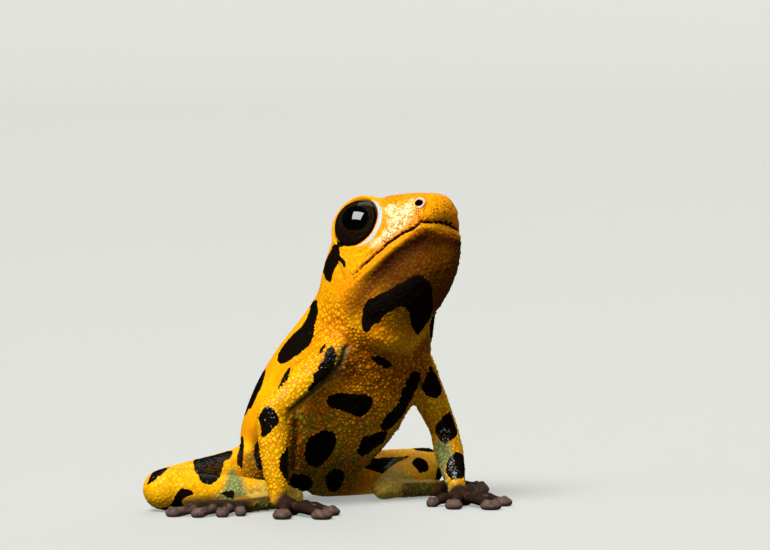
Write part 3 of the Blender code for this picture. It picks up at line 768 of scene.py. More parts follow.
def digit(root, direction, length, pad_radius):
    """A finger or toe with its joint, its round pad and the pad's two scutes, lying on the floor."""
    root, middle, tip = digit_line(root, direction, length)
    line = [root, root.lerp(middle, DIGIT_JOINT), middle, middle.lerp(tip, 0.5), tip]
    forms = [limb(line, [DIGIT_RADIUS * share for share in DIGIT_SWELLS])]
    forms.append(ball("pad", tip, (pad_radius, pad_radius, PAD_THICKNESS)))
    across, size = Vector((-direction.y, direction.x, 0)), pad_radius * SCUTE_SHARE
    for side in (-1, 1):
        place = tip + direction * pad_radius * SCUTE_AHEAD + across * side * size + Vector((0, 0, SCUTE_RISE))
        forms.append(ball("scute", place, (size, size, SCUTE_THICKNESS)))
    return forms


def hand_and_foot(name):
    wrist, heel, sole = Vector(ARMS[name]["wrist"]), Vector(LEGS[name]["heel"]), sole_of(name)
    forms = [limb([wrist - Vector((0, 0, WRIST_DROP)), palm_of(name)], PALM_RADII, PALM_FLATNESS)]
    forms += [form for finger in digits(name, "finger") for form in digit(*finger)]
    forms.append(limb([heel, heel.lerp(sole, 0.5), sole], TARSUS_RADII, TARSUS_FLATNESS))
    return forms + [form for toe in digits(name, "toe") for form in digit(*toe)]


def orbit(side):
    """The ball of flesh that holds an eye, cut flat where the lids open."""
    start = asin(LID_OFFSET / ORBIT_RADIUS)
    rings = []
    for k in range(12):
        angle = start - (start + pi / 2) * k / 12
        radius, height = ORBIT_RADIUS * cos(angle), ORBIT_RADIUS * sin(angle)
        rings.append(oval((0, 0, height), (1, 0, 0), (0, 1, 0), radius, radius, radius, 28))
    return lofted("orbit", rings, SKULL @ facing(mirrored(EYE, side), eye_direction(side)))


def nostril_frame(side):
    return SKULL @ facing(mirrored(NOSTRIL, side), mirrored(NOSTRIL_AIM, side))


def face_forms():
    """The lids' edges, the nostrils' rims and the two lips."""
    forms = []
    for side in SIDES.values():
        direction = eye_direction(side)
        lid = facing(mirrored(EYE, side) + direction * LID_OFFSET, direction)
        forms.append(torus(SKULL @ lid, LID_RADIUS, LID_THICKNESS))
        forms.append(torus(nostril_frame(side), NOSTRIL_RADIUS + NOSTRIL_RIM, NOSTRIL_RIM))
    for height in (LIP_RADIUS, -LIP_RADIUS):
        points = mouth_line(LIP_INSET, height)[::2]
        lip = limb(points, [LIP_RADIUS] * len(points))
        lip.data.transform(SKULL)
        forms.append(lip)
    return forms


def fused(name, pieces, voxel, smoothing):
    """The pieces grown together into one smooth closed skin."""
    made = bmesh.new()
    for piece in pieces:
        made.from_mesh(piece.data)
        bpy.data.objects.remove(piece)
    mesh = bpy.data.meshes.new(name)
    made.to_mesh(mesh)
    made.free()
    whole = add_object(name, mesh)
    remesh = whole.modifiers.new("Remesh", "REMESH")
    remesh.mode = "VOXEL"
    remesh.voxel_size = voxel
    remesh.adaptivity = 0.0
    ease = whole.modifiers.new("Smooth", "SMOOTH")
    ease.factor = 0.5
    ease.iterations = smoothing
    view = bpy.context.evaluated_depsgraph_get()
    mesh = bpy.data.meshes.new_from_object(whole.evaluated_get(view))
    whole.modifiers.clear()
    whole.data = mesh
    return whole


def vectors(source, key):
    """The vertices' places, or the vertex normals, as rows of numbers."""
    values = np.empty(len(source) * 3, np.float32)
    source.foreach_get(key, values)
    return values.reshape(-1, 3).astype(float)


def place_vertices(mesh, points):
    mesh.vertices.foreach_set("co", points.astype(np.float32).ravel())
    mesh.update()


def relaxed(piece, areas):
    """The skin with its creases eased inside each area of centre, radius and rounds."""
    mesh = piece.data
    points = vectors(mesh.vertices, "co")
    edges = np.empty(len(mesh.edges) * 2, int)
    mesh.edges.foreach_get("vertices", edges)
    first, second = edges.reshape(-1, 2).T
    count = np.bincount(edges, minlength=len(points))[:, None]
    for centre, radius, rounds in areas:
        reach = np.linalg.norm(points - np.array(centre), axis=1) / radius
        weight = 0.5 * np.clip(1.5 - 1.5 * reach, 0, 1)[:, None]
        for _ in range(rounds):
            total = np.zeros_like(points)
            for axis in range(3):
                total[:, axis] += np.bincount(first, points[second, axis], len(points))
                total[:, axis] += np.bincount(second, points[first, axis], len(points))
            points += weight * (total / count - points)
    place_vertices(mesh, points)
    return piece


def frog_form():
    """The whole frog's skin before its granules, in the frog's frame."""
    forms = [
        cross_sections("torso_form", TORSO, TORSO_DOMES, TORSO_FULLNESS, BODY),
        cross_sections("head_form", HEAD, HEAD_DOMES, HEAD_FULLNESS, SKULL),
    ]
    areas = [(SKULL @ Vector(NECK_MIDDLE), *NECK_ZONE)]
    for name, side in SIDES.items():
        upper, fore = arm_line(name)
        thigh, shank = leg_line(name)
        forms += [orbit(side), limb(upper, UPPER_ARM_RADII), limb(fore, FOREARM_RADII)]
        forms += [limb(thigh, THIGH_RADII), limb(shank, SHANK_RADII)]
        areas.append((upper[0].lerp(upper[-1], ARM_ZONE_PLACE), *ARM_ZONE))
        areas.append((thigh[0].lerp(thigh[-1], THIGH_ZONE_PLACE), *THIGH_ZONE))
        areas.append((SKULL @ mirrored(EYE, side), *ORBIT_ZONE))
    body = relaxed(fused("body", forms, BODY_VOXEL, BODY_SMOOTHING), areas)
    details = face_forms()
    for name in SIDES:
        details += hand_and_foot(name)
    return fused("frog_skin", [body, *details], SKIN_VOXEL, SKIN_SMOOTHING)


def to_stretch(points, a, b):
    """How far along the straight stretch from a to b each point lies, from 0 to 1, and its distance from it."""
    along = b - a
    share = np.clip((points - a) @ along / max(along @ along, 1e-12), 0, 1)
    return share, np.linalg.norm(points - a - share[:, None] * along, axis=1)


def nearest_on(points, line):
    """Each flat point's distance from an open line."""
    return np.min([to_stretch(points, a, b)[1] for a, b in zip(line, line[1:])], axis=0)


def depth_inside(points, outline):
    """How far each flat point lies inside a closed outline, below 0 outside it."""
    nearest = nearest_on(points, [*outline, outline[0]])
    within = np.zeros(len(points), bool)
    for a, b in zip(outline, np.roll(outline, -1, axis=0)):
        crosses = (a[1] > points[:, 1]) != (b[1] > points[:, 1])
        slope = (b[0] - a[0]) / (b[1] - a[1] if b[1] != a[1] else 1e-12)
        within ^= crosses & (points[:, 0] < a[0] + (points[:, 1] - a[1]) * slope)
    return np.where(within, nearest, -nearest)


def chain_depth(points, places, radii):
    """How deep points lie inside a chain of balls and the cones between them."""
    places = np.array([*places, places[-1]])
    best = np.full(len(points), FAR)
    for a, b, r, s in zip(places, places[1:], radii, [*radii[1:], radii[-1]]):
        share, away = to_stretch(points, a, b)
        best = np.maximum(best, r + (s - r) * share - away)
    return best


def along_line(points, line, radii):
    """Each point's distance from a limb's line as a share of its radius, and how far along the line it is."""
    line = np.array(line)
    ratio, share_along = np.full(len(points), np.inf), np.zeros(len(points))
    for k, (a, b) in enumerate(zip(line, line[1:])):
        share, away = to_stretch(points, a, b)
        now = away / (radii[k] + (radii[k + 1] - radii[k]) * share)
        closer = now < ratio
        ratio[closer] = now[closer]
        share_along[closer] = ((k + share) / (len(line) - 1))[closer]
    return ratio, share_along


def granules(points, kind):
    """Granules of about one size all over: each point's place in its own, 1 at the middle and 0 at the border,
    and a random number for each granule."""
    size, seed = GRANULES[kind]
    factor, addend, limit = RANDOM
    points = points.astype(np.float32) / np.float32(size)
    grid = np.floor(points)
    near = np.full(len(points), OUT_OF_REACH, np.float32)
    second, own = near.copy(), np.zeros(len(points), np.float32)
    for move in itertools.product((-1, 0, 1), repeat=3):
        cell = grid + np.array(move, np.float32)
        key = np.round(cell).astype(np.int64) @ np.array(HASH) + seed * HASH_SEED
        away = np.zeros(len(points), np.float32)
        for axis in range(3):
            key = (key * factor + addend) % limit
            chance = (key // 65536 % CHANCES / CHANCES).astype(np.float32)
            place = cell[:, axis] + CELL_EDGE + (1 - 2 * CELL_EDGE) * chance
            away += (place - points[:, axis]) ** 2
        away = np.sqrt(away)
        closer = away < near
        second = np.where(closer, near, np.minimum(second, away))
        near = np.where(closer, away, near)
        own = np.where(closer, chance, own)
    return ((second - near) / (second + near)).astype(float), own.astype(float)


class Skin:
    """The skin's points, and where each is on the body, on the head, in the photograph and in each zone."""

    def __init__(self, mesh):
        self.points = vectors(mesh.vertices, "co")
        self.normals = vectors(mesh.vertex_normals, "vector")
        corners = [tuple(p) for p in self.points]
        self.tree = BVHTree.FromPolygons(corners, [tuple(face.vertices) for face in mesh.polygons])
        self.trunk, self.skull = inside(BODY, self.points), inside(SKULL, self.points)
        self.back_facing = self.normals @ np.array(BODY.to_3x3())[:, 2]
        self.above = self.skull[:, 2] - mouth_height(self.skull[:, 0])
        offset, self.near = self.points - TARGET, self.points @ BACK
        scale = PIXELS_PER_MM * VIEW_DISTANCE / (VIEW_DISTANCE - self.near)
        self.pixels = PHOTO_MIDDLE + np.stack([offset @ RIGHT * scale, -(offset @ UP) * scale], 1)
        self.zone = {}

    def seen_at(self, pixel):
        """The place that the photograph shows at a pixel, or None."""
        across, down = (pixel - PHOTO_MIDDLE) / PIXELS_PER_MM
        direction = RIGHT * across - UP * down - BACK * VIEW_DISTANCE
        return self.tree.ray_cast(Vector(TARGET + BACK * VIEW_DISTANCE), Vector(direction).normalized())[0]

    def around(self, line):
        """The points near a line of pixels, and how far beyond its depth and out of sight each is."""
        hits = [self.seen_at(pixel) for pixel in [line.mean(axis=0), *line]]
        hits = [hit.dot(Vector(BACK)) for hit in hits if hit is not None]
        if not hits:
            return np.array([], int), np.array([])
        away = abs(self.near - np.median(hits))
        low, high = line.min(axis=0) - MARGIN, line.max(axis=0) + MARGIN
        close = np.all((self.pixels > low) & (self.pixels < high), axis=1)
        index = np.flatnonzero(close & (away < SPOT_END))
        beyond = WRAP * np.clip(WRAP_FACING - self.normals[index] @ BACK, 0, None)
        return index, beyond + np.clip(away[index] - SPOT_REACH, 0, None)

    def depth(self, outlines):
        """How deep each point lies inside the outlines, in millimetres, and FAR away from them.

        A spot that meets the edge of the body goes on round it for a short way.
        """
        depth = np.full(len(self.near), FAR)
        for outline in outlines:
            outline = np.array(outline, float)
            index, beyond = self.around(outline)
            inner = depth_inside(self.pixels[index], spline(outline, 5, closed=True)) / PIXELS_PER_MM - beyond
            depth[index] = np.maximum(depth[index], inner)
        return depth

    def patch(self, name):
        return step(name, self.depth(PATCHES[name]))

    def away(self, line):
        """Each point's distance from a line of pixels, in millimetres."""
        line = np.array(line, float)
        index, beyond = self.around(line)
        away = np.full(len(self.near), -FAR)
        away[index] = nearest_on(self.pixels[index], spline(line)) / PIXELS_PER_MM + beyond
        return away

    def hit(self, start, out):
        return self.tree.ray_cast(Vector(start), Vector(out))[0]

    def widen(self, name, values):
        """Lets a zone take in more of the skin."""
        self.zone[name] = np.maximum(self.zone.get(name, 0), values)


def spots(skin):
    """How deep each point lies inside a black spot, seen or hidden."""
    lifted = [np.array(outline, float) - (0, LEG_RISE) for outline in LEG_SPOTS.values()]
    found = [skin.depth([*SPOTS.values(), *lifted])]
    for part, chains in HIDDEN_SPOTS.items():
        rows, matrix = (spline(HEAD), SKULL) if part == "head" else (spline(TORSO), BODY)
        _, left, up = matrix.to_3x3().col
        for chain in chains:
            places = []
            for along, angle, _ in chain:
                middle = matrix @ Vector((along, 0, np.interp(along, rows[:, 0], rows[:, 1])))
                out = up * cos(radians(angle)) + left * sin(radians(angle))
                places.append(skin.hit(middle, out) or middle + out * 3)
            found.append(chain_depth(skin.points, places, [radius for _, _, radius in chain]))
    for (name, part), rows in LIMB_SPOTS.items():
        lines = leg_line(name) if part in ("thigh", "shank") else arm_line(name)
        line = spline(lines[part in ("shank", "forearm")])
        for share, out, radius in rows:
            index = int(share * (len(line) - 1))
            ends = line[max(index - 1, 0)], line[min(index + 1, len(line) - 1)]
            hits = [skin.hit(end, out) for end in ends]
            if all(hits):
                found.append(chain_depth(skin.points, hits, [radius, radius * SPOT_TAPER]))
    return np.max(found, axis=0)


def limb_zones(skin):
    points = skin.points
    for name, side in SIDES.items():
        upper, fore = arm_line(name)
        ratio, along = along_line(points, [*upper, *fore[1:]], [*UPPER_ARM_RADII, *FOREARM_RADII[1:]])
        near_arm = step("limb", ratio)
        skin.widen("arms", near_arm)
        skin.widen("arm", near_arm * step("arm_start", along))
        thigh, shank = leg_line(name)
        ratio, along = along_line(points, [*thigh, *shank[1:]], [*THIGH_RADII, *SHANK_RADII[1:]])
        skin.widen("leg", step("limb", ratio) * step("leg_start", along))
        skin.widen("pale", 0.5 * step("heel", ratio) * step("heel_start", along))
        ratio, _ = along_line(points, [LEGS[name]["heel"], sole_of(name)], TARSUS_RADII[1:])
        skin.widen("pale", 0.5 * step("tarsus", ratio))
        for root, direction, length, _ in digits(name, "finger") + digits(name, "toe"):
            ratio, along = along_line(points, digit_line(root, direction, length), [DIGIT_RADIUS] * 3)
            skin.widen("digit", step("digit", ratio) * step("digit_start", along))
            skin.widen("pad", step("pad", ratio) * step("pad_start", along))
        skin.widen("digit", step("palm", np.linalg.norm(points - np.array(palm_of(name)), axis=1)))
        offset = skin.skull - np.array(mirrored(EYE, side))
        skin.widen("socket", step("socket", np.linalg.norm(offset, axis=1)))


def zones(skin):
    """Every patch of colour and texture as a number for each point, by its name."""
    limb_zones(skin)
    zone, above, back_facing = skin.zone, skin.above, skin.back_facing
    x, _, z = skin.skull.T
    along, left, _ = skin.trunk.T
    head = step("head", x)
    off_limbs = 1 - np.maximum(zone["arm"], zone["leg"])
    body = (1 - head) * off_limbs
    belly = body * step("belly", back_facing)
    # The olive patch where the arm meets the body: partly the skin's own olive colour, partly painted shade.
    olive = skin.patch("olive")
    underside = head * step("underside", above - 0.26 * step("front", x))
    limbs_below = (0.3 * zone["arm"] + 0.45 * zone["leg"]) * step("downward", skin.normals[:, 2])
    zone["yellow"] = np.maximum(zone["arm"], zone["leg"]) * 0.9 * (1 - 0.6 * olive)
    zone["belly"] = np.maximum(belly * (1 - 0.85 * step("belly_end", along)), 0.8 * olive)
    zone["low_belly"] = np.max([belly * step("low_belly", along), limbs_below, olive], axis=0)
    # The throat's zone: a darker orange-brown underside, darkened further as painted shade beneath the jaw.
    zone["throat"] = underside * step("throat", x)
    to_neck = step("neck_end", x)
    depth, width = (least + more * to_neck for least, more in (SHADE_DEPTH, SHADE_WIDTH))
    zone["jaw_shade"] = underside * step("jaw", x) * pressed(above + depth, width)
    # Painted shade: a dark brown band on the chest below the mound and the head, where shade falls.
    chest = step("chest", along) * step("chest_end", along - step("chest_left", left))
    zone["chest"] = off_limbs * chest * step("chest_face", back_facing)
    pale = np.max([zone["pale"], 0.9 * skin.patch("pale"), 0.45 * olive], axis=0)
    zone["pale"] = pale * (1 - zone["digit"])
    zone["snout"] = step("snout", x) * step("snout_side", above) * head
    zone["face"] = head * step("face", above)
    neck_side = body * step("neck_face", back_facing) * step("neck_side", along)
    coarse = {
        "underside": underside, "belly_skin": belly, "arms": zone["arms"], "leg": zone["leg"],
        "cheek": head * step("cheek", above) * step("cheek_top", z), "neck_side": neck_side, "olive": olive,
        "pale_skin": pale,
    }
    grain = EVEN_GRAIN + sum(weight * coarse[name] for name, weight in GRAIN.items())
    zone["grain"] = np.clip(grain, 0, 1) * (1 - zone["digit"]) * (1 - 0.8 * zone["socket"])
    zone["large"] = np.clip(0.6 * underside + belly + neck_side, 0, 1) * off_limbs


def mouth_offset(skin):
    """How far above the wavy line between the lips each point is."""
    x = skin.skull[:, 0]
    wave = sum(height * np.sin(x * rate + start) for height, rate, start in MOUTH_WAVES)
    return skin.above - wave - ridge("lip_notch", x) - MOUTH_FRONT_RISE * step("mouth_front", x)


def mouth_depth(skin, offset):
    """How near each point is to the line between the lips, from the line's half width inside it."""
    x = skin.skull[:, 0]
    half_width = MOUTH_WIDTH + MOUTH_WIDER * step("mouth_wide", x) - MOUTH_THINNER * step("mouth_thin", x)
    behind = np.clip(MOUTH_CORNER + 0.1 - x, 0, None)
    return np.where(x > MOUTH_CORNER - 1.0, half_width - abs(offset) - behind * MOUTH_END, FAR)


def eye_and_nostril(skin, side):
    """What the grooves round one eye add to the skin's height, and how far in its nostril takes each point."""
    zone = skin.zone
    out = np.array(eye_direction(side))
    offset = skin.skull - np.array(mirrored(EYE, side))
    height = offset @ out
    radius = np.linalg.norm(offset - height[:, None] * out, axis=1)
    below = step("lid_height", height) * step("lid_low", offset[:, 2]) * step("lid_back", offset[:, 0])
    zone[f"lid_{side}"] = radius + (height < LID_OFFSET - 0.3) * OUT_OF_REACH
    zone[f"lid_front_{side}"] = offset @ np.array(CRESCENT_AIM) / np.maximum(radius, 0.1)
    nostril = nostril_frame(side)
    place = inside(nostril, skin.points)
    away, deep = np.linalg.norm(place[:, :2], axis=1), abs(place[:, 2])
    zone[f"nostril_{side}"] = away + (deep > 0.5) * OUT_OF_REACH
    pit = smooth(NOSTRIL_RADIUS * 1.2, NOSTRIL_RADIUS * 0.7, away) * (deep < NOSTRIL_REACH)
    inward = np.array(nostril.to_3x3().col[2]) * -NOSTRIL_DEPTH
    return (ridge("under_lid", radius) + ridge("lid_bag", radius)) * below, pit[:, None] * inward


def skin_grain(skin, groove):
    """The height of the granules, the lumps and the fine grain."""
    points = drifted = skin.points
    zone = skin.zone
    for turn, (height, rate, start) in enumerate(DRIFT, 1):
        drifted = drifted + height * np.sin(np.roll(points, -turn, axis=1) * rate + start)
    small, wide, lump = (granules(drifted, kind) for kind in ("small", "wide", "lump"))
    fine, fine_tone = granules(points, "fine")
    dome, tone = np.where(lump[1] > SMALL_SHARE, wide, small)
    dome, fine = 1 - (1 - dome) ** 2, 1 - (1 - fine) ** 2
    zone["granule"], zone["tone"], zone["fine"] = dome, tone, fine * (0.5 + 0.5 * fine_tone)
    large, grain, free = zone["large"], zone["grain"], 1 - groove
    bead = dome * (LEAST_GRANULE + CHANCE_GRANULE * tone) - GRANULE_LEVEL
    rise = grain * (GRANULE_HEIGHT + LARGE_HEIGHT * large) * bead * free
    rise += grain * large * LUMP_HEIGHT * (lump[0] - LUMP_LEVEL)
    return rise + FINE_HEIGHT * (1 + zone["face"]) * (fine - 0.5) * free * (1 - zone["digit"])


def shaped(skin):
    """The points with the mouth, the nostrils, the granules and the folds pressed into the skin."""
    zone = skin.zone
    x, y, _ = skin.skull.T
    along, left, _ = skin.trunk.T
    lips = mouth_offset(skin)
    fade = step("mouth_start", x)
    groove = ridge("mouth", lips) * fade
    near_side = FAR_SIDE_RECESS + (1 - FAR_SIDE_RECESS) * step("near_side", y)
    recess = RECESS_DEPTH * near_side * step("recess", lips) * step("recess_end", lips)
    rise = groove + fade * (ridge("lower_lip", lips) + ridge("upper_lip", lips) - recess)
    rise += ridge("mound", along) * ridge("mound_across", left) * step("mound_face", skin.back_facing)
    # Painted shade: the belly is darkened towards its low end.
    folds = 0.6 * step("groin", along) * zone["belly"]
    # Each crease is pressed in and also painted darker, as painted shade.
    for line, depth, width in FOLDS:
        crease = pressed(skin.away(line), width)
        rise -= depth * crease
        folds = np.maximum(folds, crease * step("crease", depth))
    zone["fold"] = folds
    chin = step("chin", x) * ridge("chin", lips)
    moved = skin.points - np.array(SKULL.to_3x3().col[0]) * chin[:, None]
    for side in SIDES.values():
        raised, pushed = eye_and_nostril(skin, side)
        rise += raised
        moved += pushed
    rise += skin_grain(skin, groove / RIDGES["mouth"][0])
    moved += skin.normals * rise[:, None]
    moved[:, 2] = np.maximum(moved[:, 2], 0)
    return moved


def marks(skin):
    """The attributes that the skin's material reads."""
    zone, x = skin.zone, skin.skull[:, 0]
    found = {name: zone[name] for name in PAINTED}
    above = mouth_offset(skin)
    found["mouth"] = mouth_depth(skin, above)
    nostril = np.minimum(zone["nostril_-1"], zone["nostril_1"])
    rim = RING_WIDTH - abs(nostril - RING_RADIUS) - 0.6 * np.clip(NOSTRIL[0] - 0.03 - x, 0, 1)
    # The crescent in front of each eye: partly pale lid, partly a painted highlight on the wet edge.
    for side in SIDES.values():
        width = CRESCENT_WIDTH * step("crescent", zone[f"lid_front_{side}"])
        rim = np.maximum(rim, width - 0.02 - abs(zone[f"lid_{side}"] - CRESCENT_RADIUS - width))
    found["rim"] = rim
    found["black"] = np.maximum(spots(skin) - 3 * zone["digit"], NOSTRIL_BLACK - nostril)
    lip = step("lip_freckles", x) * step("freckles_low", above) * step("freckles_high", abs(above - 0.12))
    found["freckles"] = np.clip(lip + 0.7 * zone["snout"] + skin.patch("freckled"), 0, 1)
    # Painted highlight: pale cream glare on the wet face, partly pale skin.
    found["cream_glare"] = skin.patch("cream_glare") * zone["face"]
    return found


class Tree:
    """A short way to write a material's nodes. Values are numbers, colours, sockets or attributes' names."""

    def __init__(self, name):
        self.material = bpy.data.materials.new(name)
        self.material.use_nodes = True
        self.nodes = self.material.node_tree.nodes
        self.links = self.material.node_tree.links
        self.inputs = self.nodes["Principled BSDF"].inputs
        self.attributes = {}
        place = self.node("TexCoord", {}).outputs["Object"]
        self.place = self.vector("SCALE", place, "Scale", 1 / METRE).outputs[0]

    def set(self, socket, value):
        if isinstance(value, str):
            value = self.attribute(value)
        if isinstance(value, bpy.types.NodeSocket):
            self.links.new(value, socket)
        elif hasattr(socket.default_value, "__len__") and len(value) == 3 and len(socket.default_value) == 4:
            socket.default_value = (*value, 1.0)
        else:
            socket.default_value = value

    def finish(self, **values):
        """Sets the shader's sockets, named with _ for a space, and gives the material."""
        for name, value in values.items():
            self.set(self.inputs[name.replace("_", " ")], value)
        return self.material

    def node(self, kind, values, **settings):
        node = self.nodes.new("ShaderNode" + kind)
        for name, setting in settings.items():
            setattr(node, name, setting)
        for key, value in values.items():
            self.set(node.inputs[key], value)
        return node

    def attribute(self, name):
        if name not in self.attributes:
            self.attributes[name] = self.node("Attribute", {}, attribute_name=name).outputs["Fac"]
        return self.attributes[name]

    def vector(self, operation, first, key, value):
        return self.node("VectorMath", {0: first, key: value}, operation=operation)

    def math(self, operation, a, b, clamp=False):
        return self.node("Math", {0: a, 1: b}, operation=operation, use_clamp=clamp).outputs[0]

    def plus(self, a, b, clamp=False):
        return self.math("ADD", a, b, clamp)

    def times(self, a, b):
        return self.math("MULTIPLY", a, b)

    def between(self, value, low, high, to_low=0.0, to_high=1.0):
        keys = ("Value", "From Min", "From Max", "To Min", "To Max")
        values = dict(zip(keys, (value, low, high, to_low, to_high)))
        return self.node("MapRange", values, interpolation_type="SMOOTHSTEP").outputs["Result"]

    def mix(self, share, a, b, how="MIX"):
        return self.node("Mix", {0: share, 6: a, 7: b}, data_type="RGBA", blend_type=how).outputs[2]

    def paint(self, share, colour, how="MIX"):
        """Lays a colour over those laid before."""
        self.colour = self.mix(share, self.colour, colour, how)

    def noise(self, size, detail=2.0, roughness=0.5):
        """Noise whose patches are about size millimetres across."""
        values = {"Vector": self.place, "Scale": 1 / size, "Detail": detail, "Roughness": roughness}
        return self.node("TexNoise", values).outputs["Fac"]

    def patches(self, size, detail, low, high, roughness=0.5):
        """Noise made into patches with soft edges."""
        return self.between(self.noise(size, detail, roughness), low, high)

    def jagged(self, size, middle, height, detail=3.0, roughness=0.5):
        """Noise round 0, to make an edge uneven."""
        return self.times(self.math("SUBTRACT", self.noise(size, detail, roughness), middle), height)


ORANGE = (0.93, 0.37, 0.0012)
DEEP_ORANGE = (0.82, 0.2, 0.001)
AMBER = (0.95, 0.47, 0.0015)
YELLOW = (0.93, 0.58, 0.004)
LEMON = (0.95, 0.76, 0.05)
BELLY = (0.66, 0.26, 0.003)
OLIVE = (0.36, 0.32, 0.018)
# The throat's colour is partly the underside's own darker tone and partly painted shade beneath the jaw.
DARK_THROAT_AND_SHADE = (0.13, 0.041, 0.0004)
JAW_SHADE = (0.38, 0.29, 0.3)
CHEST_SHADE = (0.28, 0.088, 0.001)
PALE = (0.18, 0.33, 0.12)
GAP_TONE_AND_SHADE = (0.5, 0.3, 0.3)
CREASE_SHADE = (0.19, 0.15, 0.12)
BLACK = (0.0055, 0.0035, 0.0014)
DIGIT = (0.022, 0.012, 0.008)
PAD = (0.12, 0.074, 0.06)
CREAM_GLARE = (0.95, 0.74, 0.42)
RIM_WHITE_AND_GLINT = (0.46, 0.52, 0.6)
FRECKLE = (0.14, 0.014, 0.002)
LIP_LINE = (0.01, 0.003, 0.001)
IRIS_DARK = (0.006, 0.004, 0.002)
IRIS_LIGHT = (0.034, 0.02, 0.009)
PUPIL = (0.001, 0.001, 0.001)
IRIS_EDGE = (0.002, 0.0015, 0.0015)


def skin_material():
    t = Tree("frog_skin")
    mottle = t.noise(0.16, 3.0, 0.6)
    # Lighter tops of some granules: partly their own paler colour, partly painted light on the domes.
    pale_and_lit_tops = t.times(t.between("tone", 0.3, 0.95), t.between("granule", 0.55, 0.98))
    t.colour = t.mix(t.patches(1.6, 3.0, 0.35, 0.65), ORANGE, AMBER)
    flecks = t.plus(t.times("face", 0.3), 0.35)
    t.paint(t.times(t.between(mottle, 0.48, 0.66), flecks), DEEP_ORANGE)
    t.paint(t.times("freckles", 0.2), DEEP_ORANGE)
    # Painted shade on the chest below the mound.
    t.paint(t.times("chest", t.between("tone", 1.0, 0.2, 0.6, 1.0)), CHEST_SHADE)
    # Painted shade: the throat is coloured dark brown, partly its own tone and partly the shade beneath the
    # jaw.
    t.paint("throat", DARK_THROAT_AND_SHADE)
    t.paint("jaw_shade", JAW_SHADE, "MULTIPLY")

    limbs = t.mix(t.patches(0.5, 3.0, 0.38, 0.6), YELLOW, AMBER)
    limbs = t.mix(t.times(t.between(mottle, 0.45, 0.6), 0.4), limbs, ORANGE)
    t.paint("yellow", t.mix(t.times(pale_and_lit_tops, 0.75), limbs, LEMON))

    green = t.mix(t.patches(0.5, 2.0, 0.4, 0.62), BELLY, OLIVE)
    belly = t.mix(t.times(pale_and_lit_tops, 0.6), t.mix("low_belly", BELLY, green), AMBER)
    t.paint(t.math("MAXIMUM", "belly", t.times("low_belly", 0.6)), belly)
    t.paint(t.times("pale", t.between(mottle, 0.95, 0.55)), PALE)

    # Darker skin between the granules: partly the gaps' own darker colour, partly painted shade in them.
    t.paint(t.times(t.between("granule", 0.62, 0.1), t.times("grain", 0.85)), GAP_TONE_AND_SHADE, "MULTIPLY")
    # Painted shade in the creases and at the belly's low end.
    t.paint("fold", CREASE_SHADE, "MULTIPLY")
    t.paint(t.times(t.between("fine", 0.3, 0.05), t.times("face", 0.5)), DEEP_ORANGE)
    t.paint("digit", t.mix(t.times(t.patches(0.3, 3.0, 0.4, 0.7), 0.5), t.mix("pad", DIGIT, PAD), DIGIT))

    # Painted highlight: cream glare on the wet face, partly pale skin.
    t.paint(t.times("cream_glare", t.patches(0.3, 4.0, 0.4, 0.56, 0.7)), CREAM_GLARE)
    cells = t.node("TexVoronoi", {"Vector": t.place, "Scale": 1 / 0.1}).outputs["Distance"]
    dots = t.times(t.between(cells, 0.48, 0.3), t.patches(0.4, 2.0, 0.36, 0.54))
    t.paint(t.times(dots, "freckles"), FRECKLE)
    # The nostrils' pale rings, and the eyes' crescents, which are partly painted highlights.
    t.paint(t.between(t.plus("rim", t.times(t.noise(0.2), 0.03)), 0.0, 0.04), RIM_WHITE_AND_GLINT)

    uneven = t.times(t.math("SUBTRACT", t.times("granule", "grain"), 0.4), -0.075)
    black = t.between(t.plus(t.plus("black", t.jagged(0.3, 0.5, 0.13)), uneven), -0.012, 0.02)
    t.paint(black, BLACK)
    t.paint(t.between(t.plus("mouth", t.jagged(0.14, 0.45, 0.24)), -0.01, 0.02), LIP_LINE)

    wet_limbs = t.times("yellow", t.plus(t.times(black, 0.8), 0.06))
    bump = {"Height": t.noise(0.05, 3.0, 0.6), "Distance": 0.00001, "Strength": 0.7}
    return t.finish(
        Base_Color=t.colour, Roughness=t.between(t.noise(0.4, 3.0), 0.3, 0.75, 0.45, 0.6),
        Specular_IOR_Level=0.03, Coat_Roughness=0.1, Coat_IOR=1.5,
        Coat_Weight=t.plus(t.plus(t.times("throat", -0.12), wet_limbs), 0.12, clamp=True),
        Subsurface_Weight=0.05, Subsurface_Radius=(1.0, 0.35, 0.08), Subsurface_Scale=0.0003,
        Normal=t.node("Bump", bump).outputs["Normal"],
    )


def eye_material(middle, direction, gaze):
    """Dark brown iris with a dark edge round the axis in direction, a black pupil that looks along gaze, and a
    clear wet front."""
    t = Tree("frog_eye")
    offset = t.vector("SUBTRACT", t.place, 1, middle).outputs[0]
    fibres = t.jagged(0.16, 0.5, 0.05, 4.0, 0.7)
    height, seen = (
        t.plus(t.math("DIVIDE", t.vector("DOT_PRODUCT", offset, 1, axis).outputs["Value"], EYE_RADIUS), fibres)
        for axis in (direction, gaze)
    )
    t.colour = t.mix(t.patches(0.1, 4.0, 0.4, 0.7, 0.7), IRIS_DARK, IRIS_LIGHT)
    t.paint(t.between(seen, 0.9, 0.94), PUPIL)
    t.paint(t.between(height, 0.62, 0.54), IRIS_EDGE)
    return t.finish(
        Base_Color=t.colour, Roughness=0.4, Specular_IOR_Level=0.0,
        Coat_Weight=1.0, Coat_Roughness=0.02, Coat_IOR=1.6,
    )


def skin_shift():
    """The way from the frog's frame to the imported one, in millimetres, told by the right eye."""
    low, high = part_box("eye_right")
    return (low + high) / 2 / METRE - SKULL @ mirrored(EYE, SIDES["right"])


